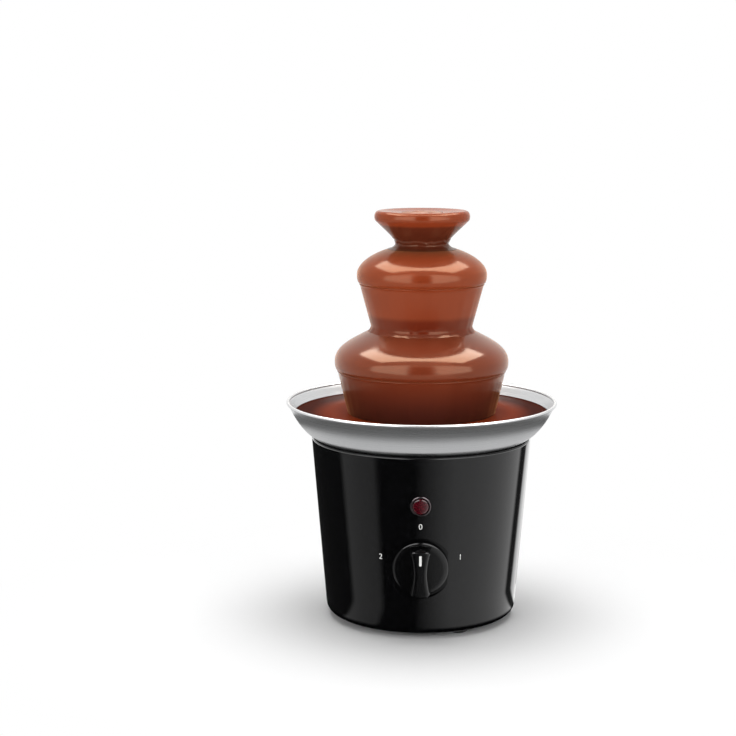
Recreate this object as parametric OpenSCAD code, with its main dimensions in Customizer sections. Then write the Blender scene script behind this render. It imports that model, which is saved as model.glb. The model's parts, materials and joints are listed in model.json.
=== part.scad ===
// Table-top chocolate fountain. A heated steel bowl stands on a tapered base, and a
// turning screw lifts melted chocolate up a tower, from which it falls over two tiers.
// The axis of the tower is Z, the table is at zero, and the control knob faces -Y.

/* [Base] */
// Height of the rubber feet below the base
foot_h = 3; // [2:0.5:6]
// Radius of a foot where it meets the base
foot_r = 6.5; // [5:0.5:7]
// Distance of the feet and the cover screws from the axis
foot_ring_r = 52.5; // [48:0.5:53]
// Direction of the first foot, to the right of the front
foot_turn = 30; // [20:5:40]
// Height of the base housing
base_h = 123; // [116:1:140]
// Radius of the base at its top
base_top_r = 77; // [75:0.5:80]
// Radius of the base where its wall meets the lower edge
base_bottom_r = 66.7; // [65.5:0.1:69]
// Wall of the base housing
base_wall = 2.4; // [1.8:0.1:3.2]
// Rounding of the lower edge of the base
base_edge_r = 6; // [4:0.5:7]
// Bevel round the top of the base's shoulder
base_bevel = 1; // [0.5:0.25:1.25]
// Thickness of the flange that carries the bowl
flange_t = 3; // [2:0.5:5]
// Thickness of the bottom cover
cover_t = 2.4; // [1.8:0.1:3.5]

/* [Controls] */
// Height of the centre of the knob
knob_z = 51; // [44:1:60]
// Radius of the knob
knob_r = 19; // [17:0.5:20]
// Height of the knob's skirt
knob_skirt_h = 4.5; // [3.5:0.5:6]
// Height of the grip above the skirt
grip_h = 11; // [8:0.5:14]
// Width of the grip at its ends
grip_w = 14; // [12:0.5:16]
// Width of the grip at its waist
grip_waist_w = 9.5; // [8.5:0.5:11]
// Radius of the round recess that the knob sits in
recess_r = 21.5; // [20.5:0.5:23]
// Depth of the recess at its middle
recess_depth = 2.4; // [1.5:0.1:3]
// Height of the centre of the pilot lamp
lamp_z = 95; // [86:1:104]
// Radius of the lamp's bezel
lamp_r = 7; // [6.5:0.25:8]
// Height of the cord inlet at the rear
inlet_z = 22; // [18:1:30]
// Radius of the cord's hole through the inlet
inlet_bore_r = 3.5; // [2.5:0.25:4]

/* [Bowl] */
// Radius of the bowl over its rolled rim
bowl_r = 95; // [92:0.5:104]
// Height of the bowl from its underside to its rim
bowl_h = 26; // [24:0.5:32]
// Radius of the flat part of the bowl's floor
bowl_floor_r = 70; // [68.5:0.5:73]
// Sheet thickness of the bowl
bowl_wall = 1; // [0.6:0.1:1.4]
// Radius of the rolled rim
bead_r = 1.1; // [0.8:0.1:1.5]
// Thickness of the gasket below the bowl
gasket_t = 2; // [1.5:0.25:4]
// Depth of chocolate in the bowl
pool_depth = 16.5; // [14:0.5:19]

/* [Tower] */
// Bore radius of the tower tube
tube_bore_r = 14.3; // [13.8:0.1:14.6]
// Outer radius of the tube below the lower tier
tube_low_r = 18.4; // [18:0.1:20]
// Outer radius of the tube between the tiers
tube_mid_r = 17.2; // [16.9:0.1:17.6]
// Outer radius of the tube above the upper tier
tube_top_r = 16; // [15.7:0.1:16.4]
// Radius of the tower's foot ring
tower_foot_r = 26; // [23:0.5:30]
// Thickness of the tower's foot ring
tower_foot_t = 2.5; // [1.5:0.5:4]
// Height of the windows that let chocolate into the tube
inlet_window_h = 11; // [8:0.5:13]
// Height of the lower tier's rim above the bowl's floor
lower_rim_h = 52.6; // [49:0.2:57]
// Radius of the lower tier
lower_tier_r = 59.3; // [56:0.1:62]
// Rise of the lower tier from its rim to its crown
lower_tier_rise = 22.9; // [20:0.1:26]
// Height of the upper tier's rim above the lower tier's rim
tier_step_h = 60.8; // [57:0.2:65]
// Radius of the upper tier
upper_tier_r = 43.7; // [41:0.1:46]
// Rise of the upper tier from its rim to its crown
upper_tier_rise = 17.5; // [15.5:0.1:19]
// Sheet thickness of the tiers
tier_wall = 2; // [1.5:0.1:2.5]
// Height of the crown above the upper tier's top
crown_h = 27.1; // [25:0.1:30]
// Radius of the crown over its lip
crown_r = 30.8; // [29:0.2:33]
// Thickness of the chocolate that runs over the tiers
coat = 1.6; // [1.2:0.1:2]
// Thickness of the falling chocolate
curtain_t = 2; // [1.5:0.1:2.5]
// Radius at which the lower curtain meets the pool
lower_curtain_r = 52; // [49:0.2:55]
// Radius at which the upper curtain meets the lower tier
upper_curtain_r = 35.2; // [33:0.2:38]

/* [Screw] */
// Radius of the screw's blade
screw_r = 13.9; // [13.2:0.1:13.9]
// Radius of the screw's core
screw_core_r = 5.5; // [4.5:0.5:7]
// Rise of the blade in one turn
screw_pitch = 22; // [18:1:28]
// Thickness of the blade
blade_t = 2; // [1.5:0.25:3]

/* [Drive] */
// Teeth on each small gear
small_teeth = 12; // [11:1:13]
// Teeth on each large gear
large_teeth = 36; // [33:1:38]
// Size of a gear tooth, as pitch diameter over teeth
gear_module = 1.25; // [1.15:0.01:1.3]
// Height of the gears' teeth along their axes
gear_w = 6.5; // [5:0.5:7]
// Radius of the motor can
motor_r = 24; // [22:0.5:26]
// Height of the motor can
motor_h = 38; // [34:1:42]
// Thickness of the gear plates
plate_t = 2; // [1.5:0.25:2.5]
// Room between the gear plates
plate_gap = 19; // [18.5:0.5:22]
// Radius of the output shaft
shaft_r = 3; // [2.5:0.1:3.4]
// Width across the flats of the drive hexagon
drive_hex_w = 12; // [11:0.25:12.5]

/* [Hidden] */
$fn = 96;

// Room between pieces that sit still together
fit_gap = 0.1;
// Room round a shaft that turns in its bore
running_gap = 0.05;
// Room between pieces that move past each other
moving_gap = 0.4;
// How far a cutting shape runs past the face that it cuts
cut = 1;

// Heights that stack up from the table
base_z = foot_h;
top_z = base_z + base_h;
bowl_z = top_z + gasket_t;
floor_z = bowl_z + bowl_wall;
rim_z = bowl_z + bowl_h;
pool_z = floor_z + pool_depth;
lower_rim_z = floor_z + lower_rim_h;
upper_rim_z = lower_rim_z + tier_step_h;
upper_top_z = upper_rim_z + upper_tier_rise;
crown_z = upper_top_z + crown_h;

// The tapered wall of the base
taper = atan((base_top_r - base_bottom_r) / base_h);
edge_centre = [base_bottom_r + base_edge_r * (tan(taper) - 1 / cos(taper)), base_z + base_edge_r];
cover_land = 0.4;
cover_gap = 0.3;
cover_hole_r = edge_centre[0] - cover_land;
cover_r = cover_hole_r - cover_gap;
cover_top_z = base_z + cover_t;
vent_count = 12;
vent_ring_r = 20;
vent_turn = 15;
vent_w = 2.5;
vent_len = 13;

// Small fasteners
thread_r = 1.5;
head_r = 2.8;
head_h = 2;
boss_r = 4;
boss_h = 15;
fin_t = 3;
fin_len = base_top_r / 2;
stud_r = 2;
stud_turn = 60;
stud_count = 3;
stud_len = 9;
gasket_w = 5;
stud_inset = 2;
flange_land = 5;
shoulder_w = 1.8;
shoulder_gap = 0.6;
shoulder_in_r = base_top_r - shoulder_w;
gasket_r = min(bowl_floor_r, shoulder_in_r - shoulder_gap);
stud_ring_r = gasket_r - gasket_w - stud_inset - stud_r;
flange_in_r = stud_ring_r - flange_land;
nut_w = 7;
nut_h = 3;
foot_stem_r = 2.4;
foot_head_r = 3.6;
foot_head_h = 2;
foot_bevel = 0.8;
foot_count = 3;
screw_turn = foot_turn + 180 / foot_count;

// Knob, switch and lamp
pad_t = 2.4;
pad_rim = 2;
knob_lift = 0.7;
knob_edge_r = 1.2;
grip_side_r = 26;
grip_inset = 0.6;
grip_draft = 1.2;
grip_edge_r = 3.5;
mark_w = 1.6;
mark_len = 7;
mark_t = 0.4;
mark_inset = 5;
mark_y = knob_r - mark_inset - mark_len;
switch_bush_r = 4.5;
switch_w = 24;
switch_d = 14;
switch_shaft_r = 3;
switch_flat = 0.9;
switch_nut_w = 12;
switch_nut_h = 1.9;
switch_nut_room = 1;
shaft_in_knob = 9;
shaft_in_switch = 8;
knob_back = -recess_depth + knob_lift;
knob_h = knob_skirt_h + grip_h;
knob_top = knob_back + knob_h;
grip_end = knob_r - grip_inset - grip_draft;
bezel_h = 1.5;
bezel_w = 1.4;
lens_h = 2.8;
lens_len = 11;
lens_wall = 1.3;
lens_edge = 0.5;
clip_w = 2.4;
clip_t = 1.5;
clip_gap = 0.6;
neon_len = 8;
inlet_flange_r = 8.5;
inlet_flange_t = 2;
inlet_barrel_r = 6;
inlet_len = 13;
inlet_nut_t = 4;
inlet_nut_w = 17;
inlet_nut_gap = 0.9;
block_size = [20, 12, 11];
block_y = 44;
terminal_step = 6;

// Motor and gears
motor_wall = 1.2;
bearing_r = 5;
bearing_h = 4;
rotor_r = 13;
rotor_shaft_r = 2.5;
air_gap = 1;
coil_gap = 1.8;
coil_end_gap = 1;
motor_screw_x = 17;
plate_rise = 49;
plate_z = base_z + plate_rise;
motor_z = plate_z - motor_h;
gear_clear = 1.5;
low_gear_z = plate_z + plate_t + gear_clear;
high_gear_z = low_gear_z + gear_w + gear_clear;
upper_plate_z = plate_z + plate_t + plate_gap;
pressure_angle = 25;
backlash = 0.2;
tooth_root = 1.25;
tooth_depth = 2.2;
tooth_steps = 4;
idler_y = gear_module * (small_teeth + large_teeth) / 2;
post_x = 32;
post_y = 16;
post_r = 3.6;
post_thread_len = 12;
plate_r = 58;
plate_front = 22;
plate_margin = 8;
bearing_room = 2;
shaft_end = 1;
thread_room = 1;
idler_shaft_r = 2.5;
bush_wall = 2;
bush_flange_w = 1.5;
bush_flange_t = 1;
clip_ring_w = 2.5;
clip_ring_t = 1.2;

// Hub, heater and drive in the middle of the bowl
hub_r = 8;
hub_flange_gap = 0.3;
hub_flange_r = tube_bore_r - hub_flange_gap;
hub_flange_t = 2;
hub_rise = 10;
hub_top_z = floor_z + hub_rise;
hub_len = 20;
hub_nut_w = 22;
hub_nut_h = 5;
seal_r = 6;
seal_h = 3.5;
heater_inset = 6;
heater_plate_r = flange_in_r - heater_inset;
heater_plate_t = 2.5;
heater_hole_r = 10;
heater_ring_r = 36;
heater_tube_r = 3.5;
heater_angle = 320;
heater_pin_r = 1.5;
heater_pin_len = 9;
heater_pin_angle = 3;
thermostat_r = 7.5;
thermostat_h = 9;
thermostat_x = 21;
fuse_r = 2.2;
fuse_len = 16;
fuse_clip = [7, 8, 6];
hex_gap = 0.3;
hex_lift = 1;
hex_z = hub_top_z + hex_lift;
hex_h = 10;
heater_z = bowl_z - heater_plate_t;

// Screw
sleeve_wall = 2.2;
sleeve_gap = 0.6;
sleeve_lift = 1;
sleeve_z = floor_z + hub_flange_t + sleeve_lift;
sleeve_in_r = max(hub_r + sleeve_gap, (drive_hex_w / 2 + hex_gap) / cos(30));
sleeve_r = sleeve_in_r + sleeve_wall;
sleeve_top_z = hex_z + hex_h + hex_gap + sleeve_wall;
swirl_h = 5;
blade_end = 5;
screw_top_z = crown_z - swirl_h;
blade_top_z = screw_top_z - blade_end;
blade_steps = 20;
blade_sink = 0.3;
crown_dip = 1.2;

// Tower and chocolate
spigot_wall = 1;
spigot_r = tube_bore_r + spigot_wall;
spigot_h = 6;
collar_h = 11;
lower_seat_z = lower_rim_z + lower_tier_rise - collar_h;
upper_seat_z = upper_rim_z + upper_tier_rise - collar_h;
window_angle = 62;
window_count = 3;
collar_wall = 2;
crown_bore_h = 9;
crown_neck_wall = 0.6;
crown_brim = 3;
brim_h = 7;
brim_bulge = [1.5, 1.8];
brim_round = 1.3;
brim_in = 2.8;
lower_flat_r = 32;
upper_flat_r = 19;
dome_steps = 16;
rim_in = 0.5;
rim_drop = 4;
lip_drop = 6;
lip_in = 2.3;
skin_gap = 0.3;

// Curves of the bowl, the tiers and the crown, as parts of their width and height
curve_steps = 14;
edge_steps = 8;
bowl_floor_pull = 0.42;
bowl_rim_pull = 0.21;
bowl_rim_height = 0.52;
dome_reach = 0.41;
dome_round = 0.5;
lower_fall = 0.32;
upper_fall = 0.1;
crown_swell = 0.2;
crown_low = 0.34;
crown_high = 0.62;
crown_spread = 0.5;

// Radius of the base's wall at a height
function wall_r(z) = base_bottom_r + (z - base_z) * tan(taper);
// Points on an arc
function arc(c, r, from, to, n) =
    [for (i = [0:n]) let (a = from + (to - from) * i / n) c + r * [cos(a), sin(a)]];
// Points on a curve that leaves a towards b and reaches d from c
function curve(a, b, c, d, n) =
    [for (i = [0:n]) let (t = i / n, u = 1 - t) u^3 * a + 3 * u^2 * t * b + 3 * u * t^2 * c + t^3 * d];
function reversed(p) = [for (i = [len(p) - 1:-1:0]) p[i]];
// Direction of a line of points at point i
function heading(p, i) =
    let (v = p[min(i + 1, len(p) - 1)] - p[max(i - 1, 0)]) v / norm(v);
// The line moved to its left by d
function beside(p, d) =
    [for (i = [0:len(p) - 1]) let (h = heading(p, i)) p[i] + d * [-h[1], h[0]]];
// Radius of a rising line of points at a height
function radius_at(p, z) = lookup(z, [for (q = p) [q[1], q[0]]]);

// Underside of the bowl from its flat floor to the middle of its rolled rim
bead_centre = [bowl_r - bead_r, rim_z - bead_r];
bowl_spread = bead_centre[0] - bowl_floor_r;
bowl_rise = bead_centre[1] - bowl_z;
bowl_line = curve([bowl_floor_r, bowl_z], [bowl_floor_r + bowl_floor_pull * bowl_spread, bowl_z],
    [bead_centre[0] - bowl_rim_pull * bowl_spread, bowl_z + bowl_rim_height * bowl_rise],
    bead_centre, curve_steps);

// Top of the base's shoulder, which rises round the foot of the bowl
shoulder_z = lookup(shoulder_in_r, bowl_line) - shoulder_gap;

// Outline of a tier from its crown down a slope to its upright rim
function dome(flat_r, r, z, rise, fall) =
    curve([flat_r, z + rise], [flat_r + dome_reach * (r - flat_r), z + (1 - fall) * rise],
        [r, z + dome_round * rise], [r, z], dome_steps);
// Outline of the crown from its neck out and up to its lip
function flare(neck_r, r, z0, z1) =
    curve([neck_r, z0], [neck_r + crown_swell, z0 + crown_low * (z1 - z0)],
        [neck_r + crown_spread * (r - neck_r), z0 + crown_high * (z1 - z0)], [r, z1], curve_steps);

lower_dome = dome(lower_flat_r, lower_tier_r, lower_rim_z, lower_tier_rise, lower_fall);
upper_dome = dome(upper_flat_r, upper_tier_r, upper_rim_z, upper_tier_rise, upper_fall);
lower_skin = dome(lower_flat_r, lower_tier_r + coat, lower_rim_z, lower_tier_rise + coat, lower_fall);
upper_skin = dome(upper_flat_r, upper_tier_r + coat, upper_rim_z, upper_tier_rise + coat, upper_fall);
crown_neck_r = tube_top_r + crown_neck_wall;
crown_base_z = upper_top_z + fit_gap;
crown_skin_z = upper_top_z + coat + skin_gap;
crown_line = flare(crown_neck_r, crown_r, crown_skin_z, crown_z - crown_brim);
crown_skin = flare(crown_neck_r + coat, crown_r + coat, crown_skin_z, crown_z - brim_h);

// Moves a shape from the table's frame to the base's wall, where +Z points out of the wall
module on_wall(z, turn = 0)
    rotate(turn) translate([0, -wall_r(z), z]) rotate([90 + taper, 0, 0]) children();

// Copies round the axis, from a direction given to the right of the front
module round_axis(count, r, turn)
    for (i = [0:count - 1]) rotate(turn + i * 360 / count) translate([0, -r, 0]) children();

// Copies at the four posts of the gear plates
module at_posts()
    for (x = [-post_x, post_x], y = [-post_y, post_y]) translate([x, y, 0]) children();

module ring(r_out, r_in, h)
    difference() {
        cylinder(r = r_out, h = h);
        translate([0, 0, -cut]) cylinder(r = r_in, h = h + 2 * cut);
    }

module hexagon(width, h)
    cylinder(r = width / 2 / cos(30), h = h, $fn = 6);

module pan_screw(length)
    union() {
        cylinder(r = head_r, h = head_h);
        translate([0, 0, -length]) cylinder(r = thread_r, h = length + head_h / 2);
    }

// Half the angle that a gear tooth takes at radius r
function involute(r, base) =
    let (a = acos(min(1, base / r))) tan(a) * 180 / PI - a;
function tooth_half(n, r) =
    let (pitch = gear_module * n / 2, base = pitch * cos(pressure_angle))
    90 / n - backlash / pitch * 45 / PI + involute(pitch, base) - involute(max(r, base), base);
function gear_points(n) =
    let (pitch = gear_module * n / 2,
        radii = [for (i = [0:tooth_steps])
            pitch + gear_module * (tooth_depth * i / tooth_steps - tooth_root)])
    [for (k = [0:n - 1]) each concat(
        [for (r = radii) let (a = 360 * k / n - tooth_half(n, r)) r * [cos(a), sin(a)]],
        [for (r = reversed(radii)) let (a = 360 * k / n + tooth_half(n, r)) r * [cos(a), sin(a)]])];

module gear(n, h)
    linear_extrude(h) polygon(gear_points(n));

module inside_wall()
    translate([0, 0, base_z])
        cylinder(r1 = base_bottom_r - base_wall / 2, r2 = base_top_r - base_wall / 2, h = base_h);

module base_housing() color("#101012") {
    outline = concat(
        [[cover_hole_r, base_z]],
        arc(edge_centre, base_edge_r, -90, -taper, edge_steps),
        [[wall_r(shoulder_z - base_bevel), shoulder_z - base_bevel],
            [wall_r(shoulder_z) - base_bevel, shoulder_z], [shoulder_in_r, shoulder_z],
            [shoulder_in_r, top_z], [flange_in_r, top_z], [flange_in_r, top_z - flange_t],
            [wall_r(top_z - flange_t) - base_wall / cos(taper), top_z - flange_t]],
        arc(edge_centre, base_edge_r - base_wall, -taper, -90, edge_steps),
        [[cover_hole_r, base_z + base_wall]]);
    difference() {
        union() {
            rotate_extrude() polygon(outline);
            intersection() {
                union() {
                    on_wall(knob_z) translate([0, 0, -recess_depth - pad_t])
                        cylinder(r = recess_r + pad_rim, h = recess_depth + pad_t);
                    round_axis(foot_count, foot_ring_r, screw_turn) translate([0, 0, cover_top_z]) {
                        cylinder(r = boss_r, h = boss_h);
                        translate([-fin_t / 2, -fin_len, boss_r]) cube([fin_t, fin_len, boss_h - boss_r]);
                    }
                }
                inside_wall();
            }
        }
        on_wall(knob_z) translate([0, 0, -recess_depth]) cylinder(r = recess_r, h = 3 * recess_depth);
        on_wall(knob_z) translate([0, 0, -recess_depth - pad_t - cut])
            cylinder(r = switch_bush_r + fit_gap, h = pad_t + 2 * cut);
        on_wall(lamp_z) translate([0, 0, -2 * base_wall])
            cylinder(r = lamp_r - bezel_w - fit_gap, h = 4 * base_wall);
        on_wall(inlet_z, 180) translate([0, 0, -2 * base_wall])
            cylinder(r = inlet_barrel_r + fit_gap, h = 4 * base_wall);
        round_axis(stud_count, stud_ring_r, stud_turn) translate([0, 0, top_z - flange_t - cut])
            cylinder(r = stud_r + fit_gap, h = flange_t + 2 * cut);
        round_axis(foot_count, foot_ring_r, screw_turn) translate([0, 0, cover_top_z - cut])
            cylinder(r = thread_r + fit_gap, h = boss_h - boss_r + cut);
    }
}

module bottom_cover() color("#1c1c1e")
    difference() {
        union() {
            translate([0, 0, base_z]) cylinder(r = cover_r, h = cover_t);
            at_posts() translate([0, 0, cover_top_z]) cylinder(r = post_r, h = plate_z - cover_top_z);
        }
        round_axis(foot_count, foot_ring_r, foot_turn) translate([0, 0, base_z - cut])
            cylinder(r = foot_stem_r + fit_gap, h = cover_t + 2 * cut);
        round_axis(foot_count, foot_ring_r, screw_turn) translate([0, 0, base_z - cut])
            cylinder(r = thread_r + fit_gap, h = cover_t + 2 * cut);
        round_axis(vent_count, vent_ring_r, vent_turn) translate([0, 0, base_z + cover_t / 2])
            cube([vent_w, vent_len, cover_t + 2 * cut], center = true);
        at_posts() translate([0, 0, plate_z - post_thread_len])
            cylinder(r = thread_r + fit_gap, h = post_thread_len + cut);
    }

module rubber_feet() color("#0c0c0c")
    round_axis(foot_count, foot_ring_r, foot_turn) rotate_extrude()
        polygon([[0, 0], [foot_r - foot_bevel, 0], [foot_r, foot_bevel], [foot_r, base_z],
            [foot_stem_r, base_z], [foot_stem_r, cover_top_z], [foot_head_r, cover_top_z],
            [foot_stem_r, cover_top_z + foot_head_h], [0, cover_top_z + foot_head_h]]);

module cover_screws() color("silver")
    round_axis(foot_count, foot_ring_r, screw_turn) translate([0, 0, base_z]) mirror([0, 0, 1])
        pan_screw(cover_t + boss_h / 2);

module cord_inlet() color("#151515")
    on_wall(inlet_z, 180) difference() {
        union() {
            cylinder(r = inlet_flange_r, h = inlet_flange_t);
            translate([0, 0, inlet_flange_t - inlet_len]) cylinder(r = inlet_barrel_r, h = inlet_len);
        }
        translate([0, 0, inlet_flange_t - inlet_len - cut])
            cylinder(r = inlet_bore_r, h = inlet_len + 2 * cut);
    }

module inlet_nut() color("#202020")
    on_wall(inlet_z, 180) translate([0, 0, -base_wall - inlet_nut_t - inlet_nut_gap]) difference() {
        hexagon(inlet_nut_w, inlet_nut_t);
        translate([0, 0, -cut]) cylinder(r = inlet_barrel_r + fit_gap, h = inlet_nut_t + 2 * cut);
    }

module terminal_block() color("ivory")
    translate([0, block_y, cover_top_z + block_size[2] / 2]) difference() {
        cube(block_size, center = true);
        for (i = [-1:1]) translate([i * terminal_step, 0, 0]) cylinder(r = thread_r, h = block_size[2]);
    }

module rotary_switch() color("#2a2a2e")
    on_wall(knob_z) translate([0, 0, -recess_depth - pad_t]) difference() {
        union() {
            translate([-switch_w / 2, -switch_w / 2, -switch_d]) cube([switch_w, switch_w, switch_d]);
            cylinder(r = switch_bush_r, h = pad_t + switch_nut_h);
        }
        translate([0, 0, -shaft_in_switch - running_gap])
            cylinder(r = switch_shaft_r + running_gap, h = shaft_in_switch + pad_t + switch_nut_h + cut);
    }

module switch_nut() color("silver")
    on_wall(knob_z) translate([0, 0, -recess_depth]) difference() {
        hexagon(switch_nut_w, switch_nut_h);
        translate([0, 0, -cut]) cylinder(r = switch_bush_r + fit_gap, h = switch_nut_h + 2 * cut);
    }

// A shaft with one flat, which keys the knob to the switch
module flat_shaft(r, h)
    difference() {
        cylinder(r = r, h = h);
        translate([-r, r - switch_flat, -cut]) cube([2 * r, r, h + 2 * cut]);
    }

module switch_shaft() color("silver")
    on_wall(knob_z) {
        translate([0, 0, -recess_depth - pad_t - shaft_in_switch])
            cylinder(r = switch_shaft_r, h = shaft_in_switch + pad_t + switch_nut_h + moving_gap);
        translate([0, 0, -recess_depth + switch_nut_h + moving_gap])
            flat_shaft(switch_shaft_r, shaft_in_knob - switch_nut_h);
    }

// The knob is a round skirt with a waisted grip across it
module knob() color("#0b0b0d")
    on_wall(knob_z) difference() {
        union() {
            translate([0, 0, knob_back]) rotate_extrude() polygon(concat(
                [[0, 0], [knob_r, 0]],
                arc([knob_r - knob_edge_r, knob_skirt_h - knob_edge_r], knob_edge_r, 0, 90, edge_steps),
                [[0, knob_skirt_h]]));
            intersection() {
                translate([0, 0, knob_back + knob_skirt_h / 2]) linear_extrude(knob_h) difference() {
                    square([grip_w, 2 * knob_r], center = true);
                    for (s = [-1, 1]) translate([s * (grip_waist_w / 2 + grip_side_r), 0])
                        circle(r = grip_side_r);
                }
                translate([0, 0, knob_back]) rotate_extrude() polygon(concat(
                    [[0, 0], [knob_r - grip_inset, 0]],
                    arc([grip_end - grip_edge_r, knob_h - grip_edge_r], grip_edge_r, 0, 90, edge_steps),
                    [[0, knob_h]]));
            }
        }
        translate([0, 0, knob_back - cut])
            cylinder(r = switch_nut_w / 2 / cos(30) + switch_nut_room,
                h = switch_nut_h + cut - knob_lift + moving_gap);
        translate([0, 0, -recess_depth])
            flat_shaft(switch_shaft_r + fit_gap, shaft_in_knob + moving_gap + fit_gap);
        translate([-mark_w / 2, mark_y, knob_top - mark_t])
            cube([mark_w, mark_len, mark_t + cut]);
    }

module knob_mark() color("white")
    on_wall(knob_z) translate([-mark_w / 2, mark_y, knob_top - mark_t])
        cube([mark_w, mark_len, mark_t]);

module lamp_bezel() color("silver")
    on_wall(lamp_z) ring(lamp_r, lamp_r - bezel_w, bezel_h);

module lamp_lens() color("#5c1018")
    on_wall(lamp_z) rotate_extrude() let (r = lamp_r - bezel_w - 2 * fit_gap) polygon(concat(
        [[r - lens_wall, -lens_len + lens_h], [r, -lens_len + lens_h], [r, bezel_h / 2]],
        curve([r, bezel_h], [r, lens_h - lens_edge], [r / 2, lens_h], [0, lens_h], edge_steps),
        [[0, 0], [r - lens_wall, -lens_wall]]));

module neon_lamp() color("orange")
    on_wall(lamp_z) translate([0, 0, -lens_wall - neon_len])
        cylinder(r = lamp_r - bezel_w - lens_wall - 3 * fit_gap, h = neon_len);

module lamp_clip() color("silver")
    on_wall(lamp_z) translate([0, 0, -base_wall - clip_t - clip_gap])
        ring(lamp_r - bezel_w + clip_w, lamp_r - bezel_w - fit_gap, clip_t);

module motor_can() color("#9a9a96")
    translate([0, 0, motor_z]) difference() {
        union() {
            difference() {
                cylinder(r = motor_r, h = motor_h);
                translate([0, 0, motor_wall])
                    cylinder(r = motor_r - motor_wall, h = motor_h - 2 * motor_wall);
            }
            cylinder(r = bearing_r, h = bearing_h);
            translate([0, 0, motor_h - bearing_h]) cylinder(r = bearing_r, h = bearing_h);
        }
        translate([0, 0, motor_wall]) cylinder(r = rotor_shaft_r + running_gap, h = motor_h);
        for (s = [-1, 1]) translate([s * motor_screw_x, 0, motor_h - bearing_h])
            cylinder(r = thread_r + fit_gap, h = bearing_h + cut);
    }

module stator_coil() color("#b4642c")
    translate([0, 0, motor_z + bearing_h + coil_end_gap])
        ring(motor_r - motor_wall - fit_gap, rotor_r + air_gap, motor_h - 2 * bearing_h - 2 * coil_end_gap);

module rotor() color("#505050") {
    translate([0, 0, motor_z + bearing_h + coil_gap])
        cylinder(r = rotor_r, h = motor_h - 2 * bearing_h - 2 * coil_gap);
    translate([0, 0, motor_z + motor_wall + running_gap])
        cylinder(r = rotor_shaft_r, h = low_gear_z + gear_w - motor_z - motor_wall - running_gap);
}

module rotor_pinion() color("goldenrod")
    translate([0, 0, low_gear_z]) difference() {
        rotate(90) gear(small_teeth, gear_w);
        translate([0, 0, -cut]) cylinder(r = rotor_shaft_r + fit_gap, h = gear_w + 2 * cut);
    }

module motor_screws() color("silver")
    for (s = [-1, 1]) translate([s * motor_screw_x, 0, plate_z + plate_t])
        pan_screw(plate_t + motor_wall);

module plate_outline()
    intersection() {
        circle(r = plate_r);
        translate([-post_x - plate_margin, -plate_front])
            square([2 * (post_x + plate_margin), plate_front + plate_r]);
    }

module lower_gear_plate() color("lightsteelblue")
    translate([0, 0, plate_z]) difference() {
        linear_extrude(plate_t) plate_outline();
        translate([0, 0, -cut]) cylinder(r = bearing_r + bearing_room, h = plate_t + 2 * cut);
        translate([0, idler_y, -cut])
            cylinder(r = idler_shaft_r + bush_wall + fit_gap, h = plate_t + 2 * cut);
        at_posts() translate([0, 0, -cut]) cylinder(r = thread_r + fit_gap, h = plate_t + 2 * cut);
        for (s = [-1, 1]) translate([s * motor_screw_x, 0, -cut])
            cylinder(r = thread_r + fit_gap, h = plate_t + 2 * cut);
    }

module upper_gear_plate() color("lightsteelblue")
    translate([0, 0, upper_plate_z]) difference() {
        linear_extrude(plate_t) plate_outline();
        translate([0, 0, -cut]) cylinder(r = shaft_r + bush_wall + fit_gap, h = plate_t + 2 * cut);
        translate([0, idler_y, -cut])
            cylinder(r = idler_shaft_r + bush_wall + fit_gap, h = plate_t + 2 * cut);
        at_posts() translate([0, 0, -cut]) cylinder(r = thread_r + fit_gap, h = plate_t + 2 * cut);
    }

module plate_spacers() color("silver")
    at_posts() translate([0, 0, plate_z + plate_t]) ring(post_r, thread_r + fit_gap, plate_gap);

module plate_screws() color("silver")
    at_posts() translate([0, 0, upper_plate_z + plate_t])
        pan_screw(2 * plate_t + plate_gap + post_thread_len - thread_room);

// A flanged bush whose flange lies on a plate's inner face
module bush(bore)
    difference() {
        union() {
            cylinder(r = bore + bush_wall, h = plate_t + bush_flange_t);
            cylinder(r = bore + bush_wall + bush_flange_w, h = bush_flange_t);
        }
        translate([0, 0, -cut]) cylinder(r = bore + running_gap, h = plate_t + bush_flange_t + 2 * cut);
    }

module gear_bushes() color("darkgoldenrod") {
    translate([0, idler_y, plate_z + plate_t + bush_flange_t]) mirror([0, 0, 1]) bush(idler_shaft_r);
    translate([0, idler_y, upper_plate_z - bush_flange_t]) bush(idler_shaft_r);
    translate([0, 0, upper_plate_z - bush_flange_t]) bush(shaft_r);
}

module idler_gear() color("whitesmoke")
    translate([0, idler_y, 0]) difference() {
        union() {
            translate([0, 0, low_gear_z]) rotate(-90 + 180 / large_teeth) gear(large_teeth, gear_w);
            translate([0, 0, low_gear_z + gear_w - cut]) rotate(-90 + 180 / small_teeth)
                gear(small_teeth, high_gear_z - low_gear_z + cut);
        }
        translate([0, 0, low_gear_z - cut])
            cylinder(r = idler_shaft_r + fit_gap, h = high_gear_z + gear_w - low_gear_z + 2 * cut);
    }

module idler_shaft() color("silver")
    translate([0, idler_y, plate_z - shaft_end])
        cylinder(r = idler_shaft_r, h = upper_plate_z + plate_t - plate_z + 2 * shaft_end);

module output_gear() color("whitesmoke")
    translate([0, 0, high_gear_z]) difference() {
        rotate(90) gear(large_teeth, gear_w);
        translate([0, 0, -cut]) cylinder(r = shaft_r + fit_gap, h = gear_w + 2 * cut);
    }

module output_shaft() color("silver")
    translate([0, 0, high_gear_z]) cylinder(r = shaft_r, h = hex_z + hex_h - high_gear_z);

module shaft_clip() color("dimgray")
    translate([0, 0, upper_plate_z + plate_t + moving_gap])
        ring(shaft_r + clip_ring_w, shaft_r + fit_gap, clip_ring_t);

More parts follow.
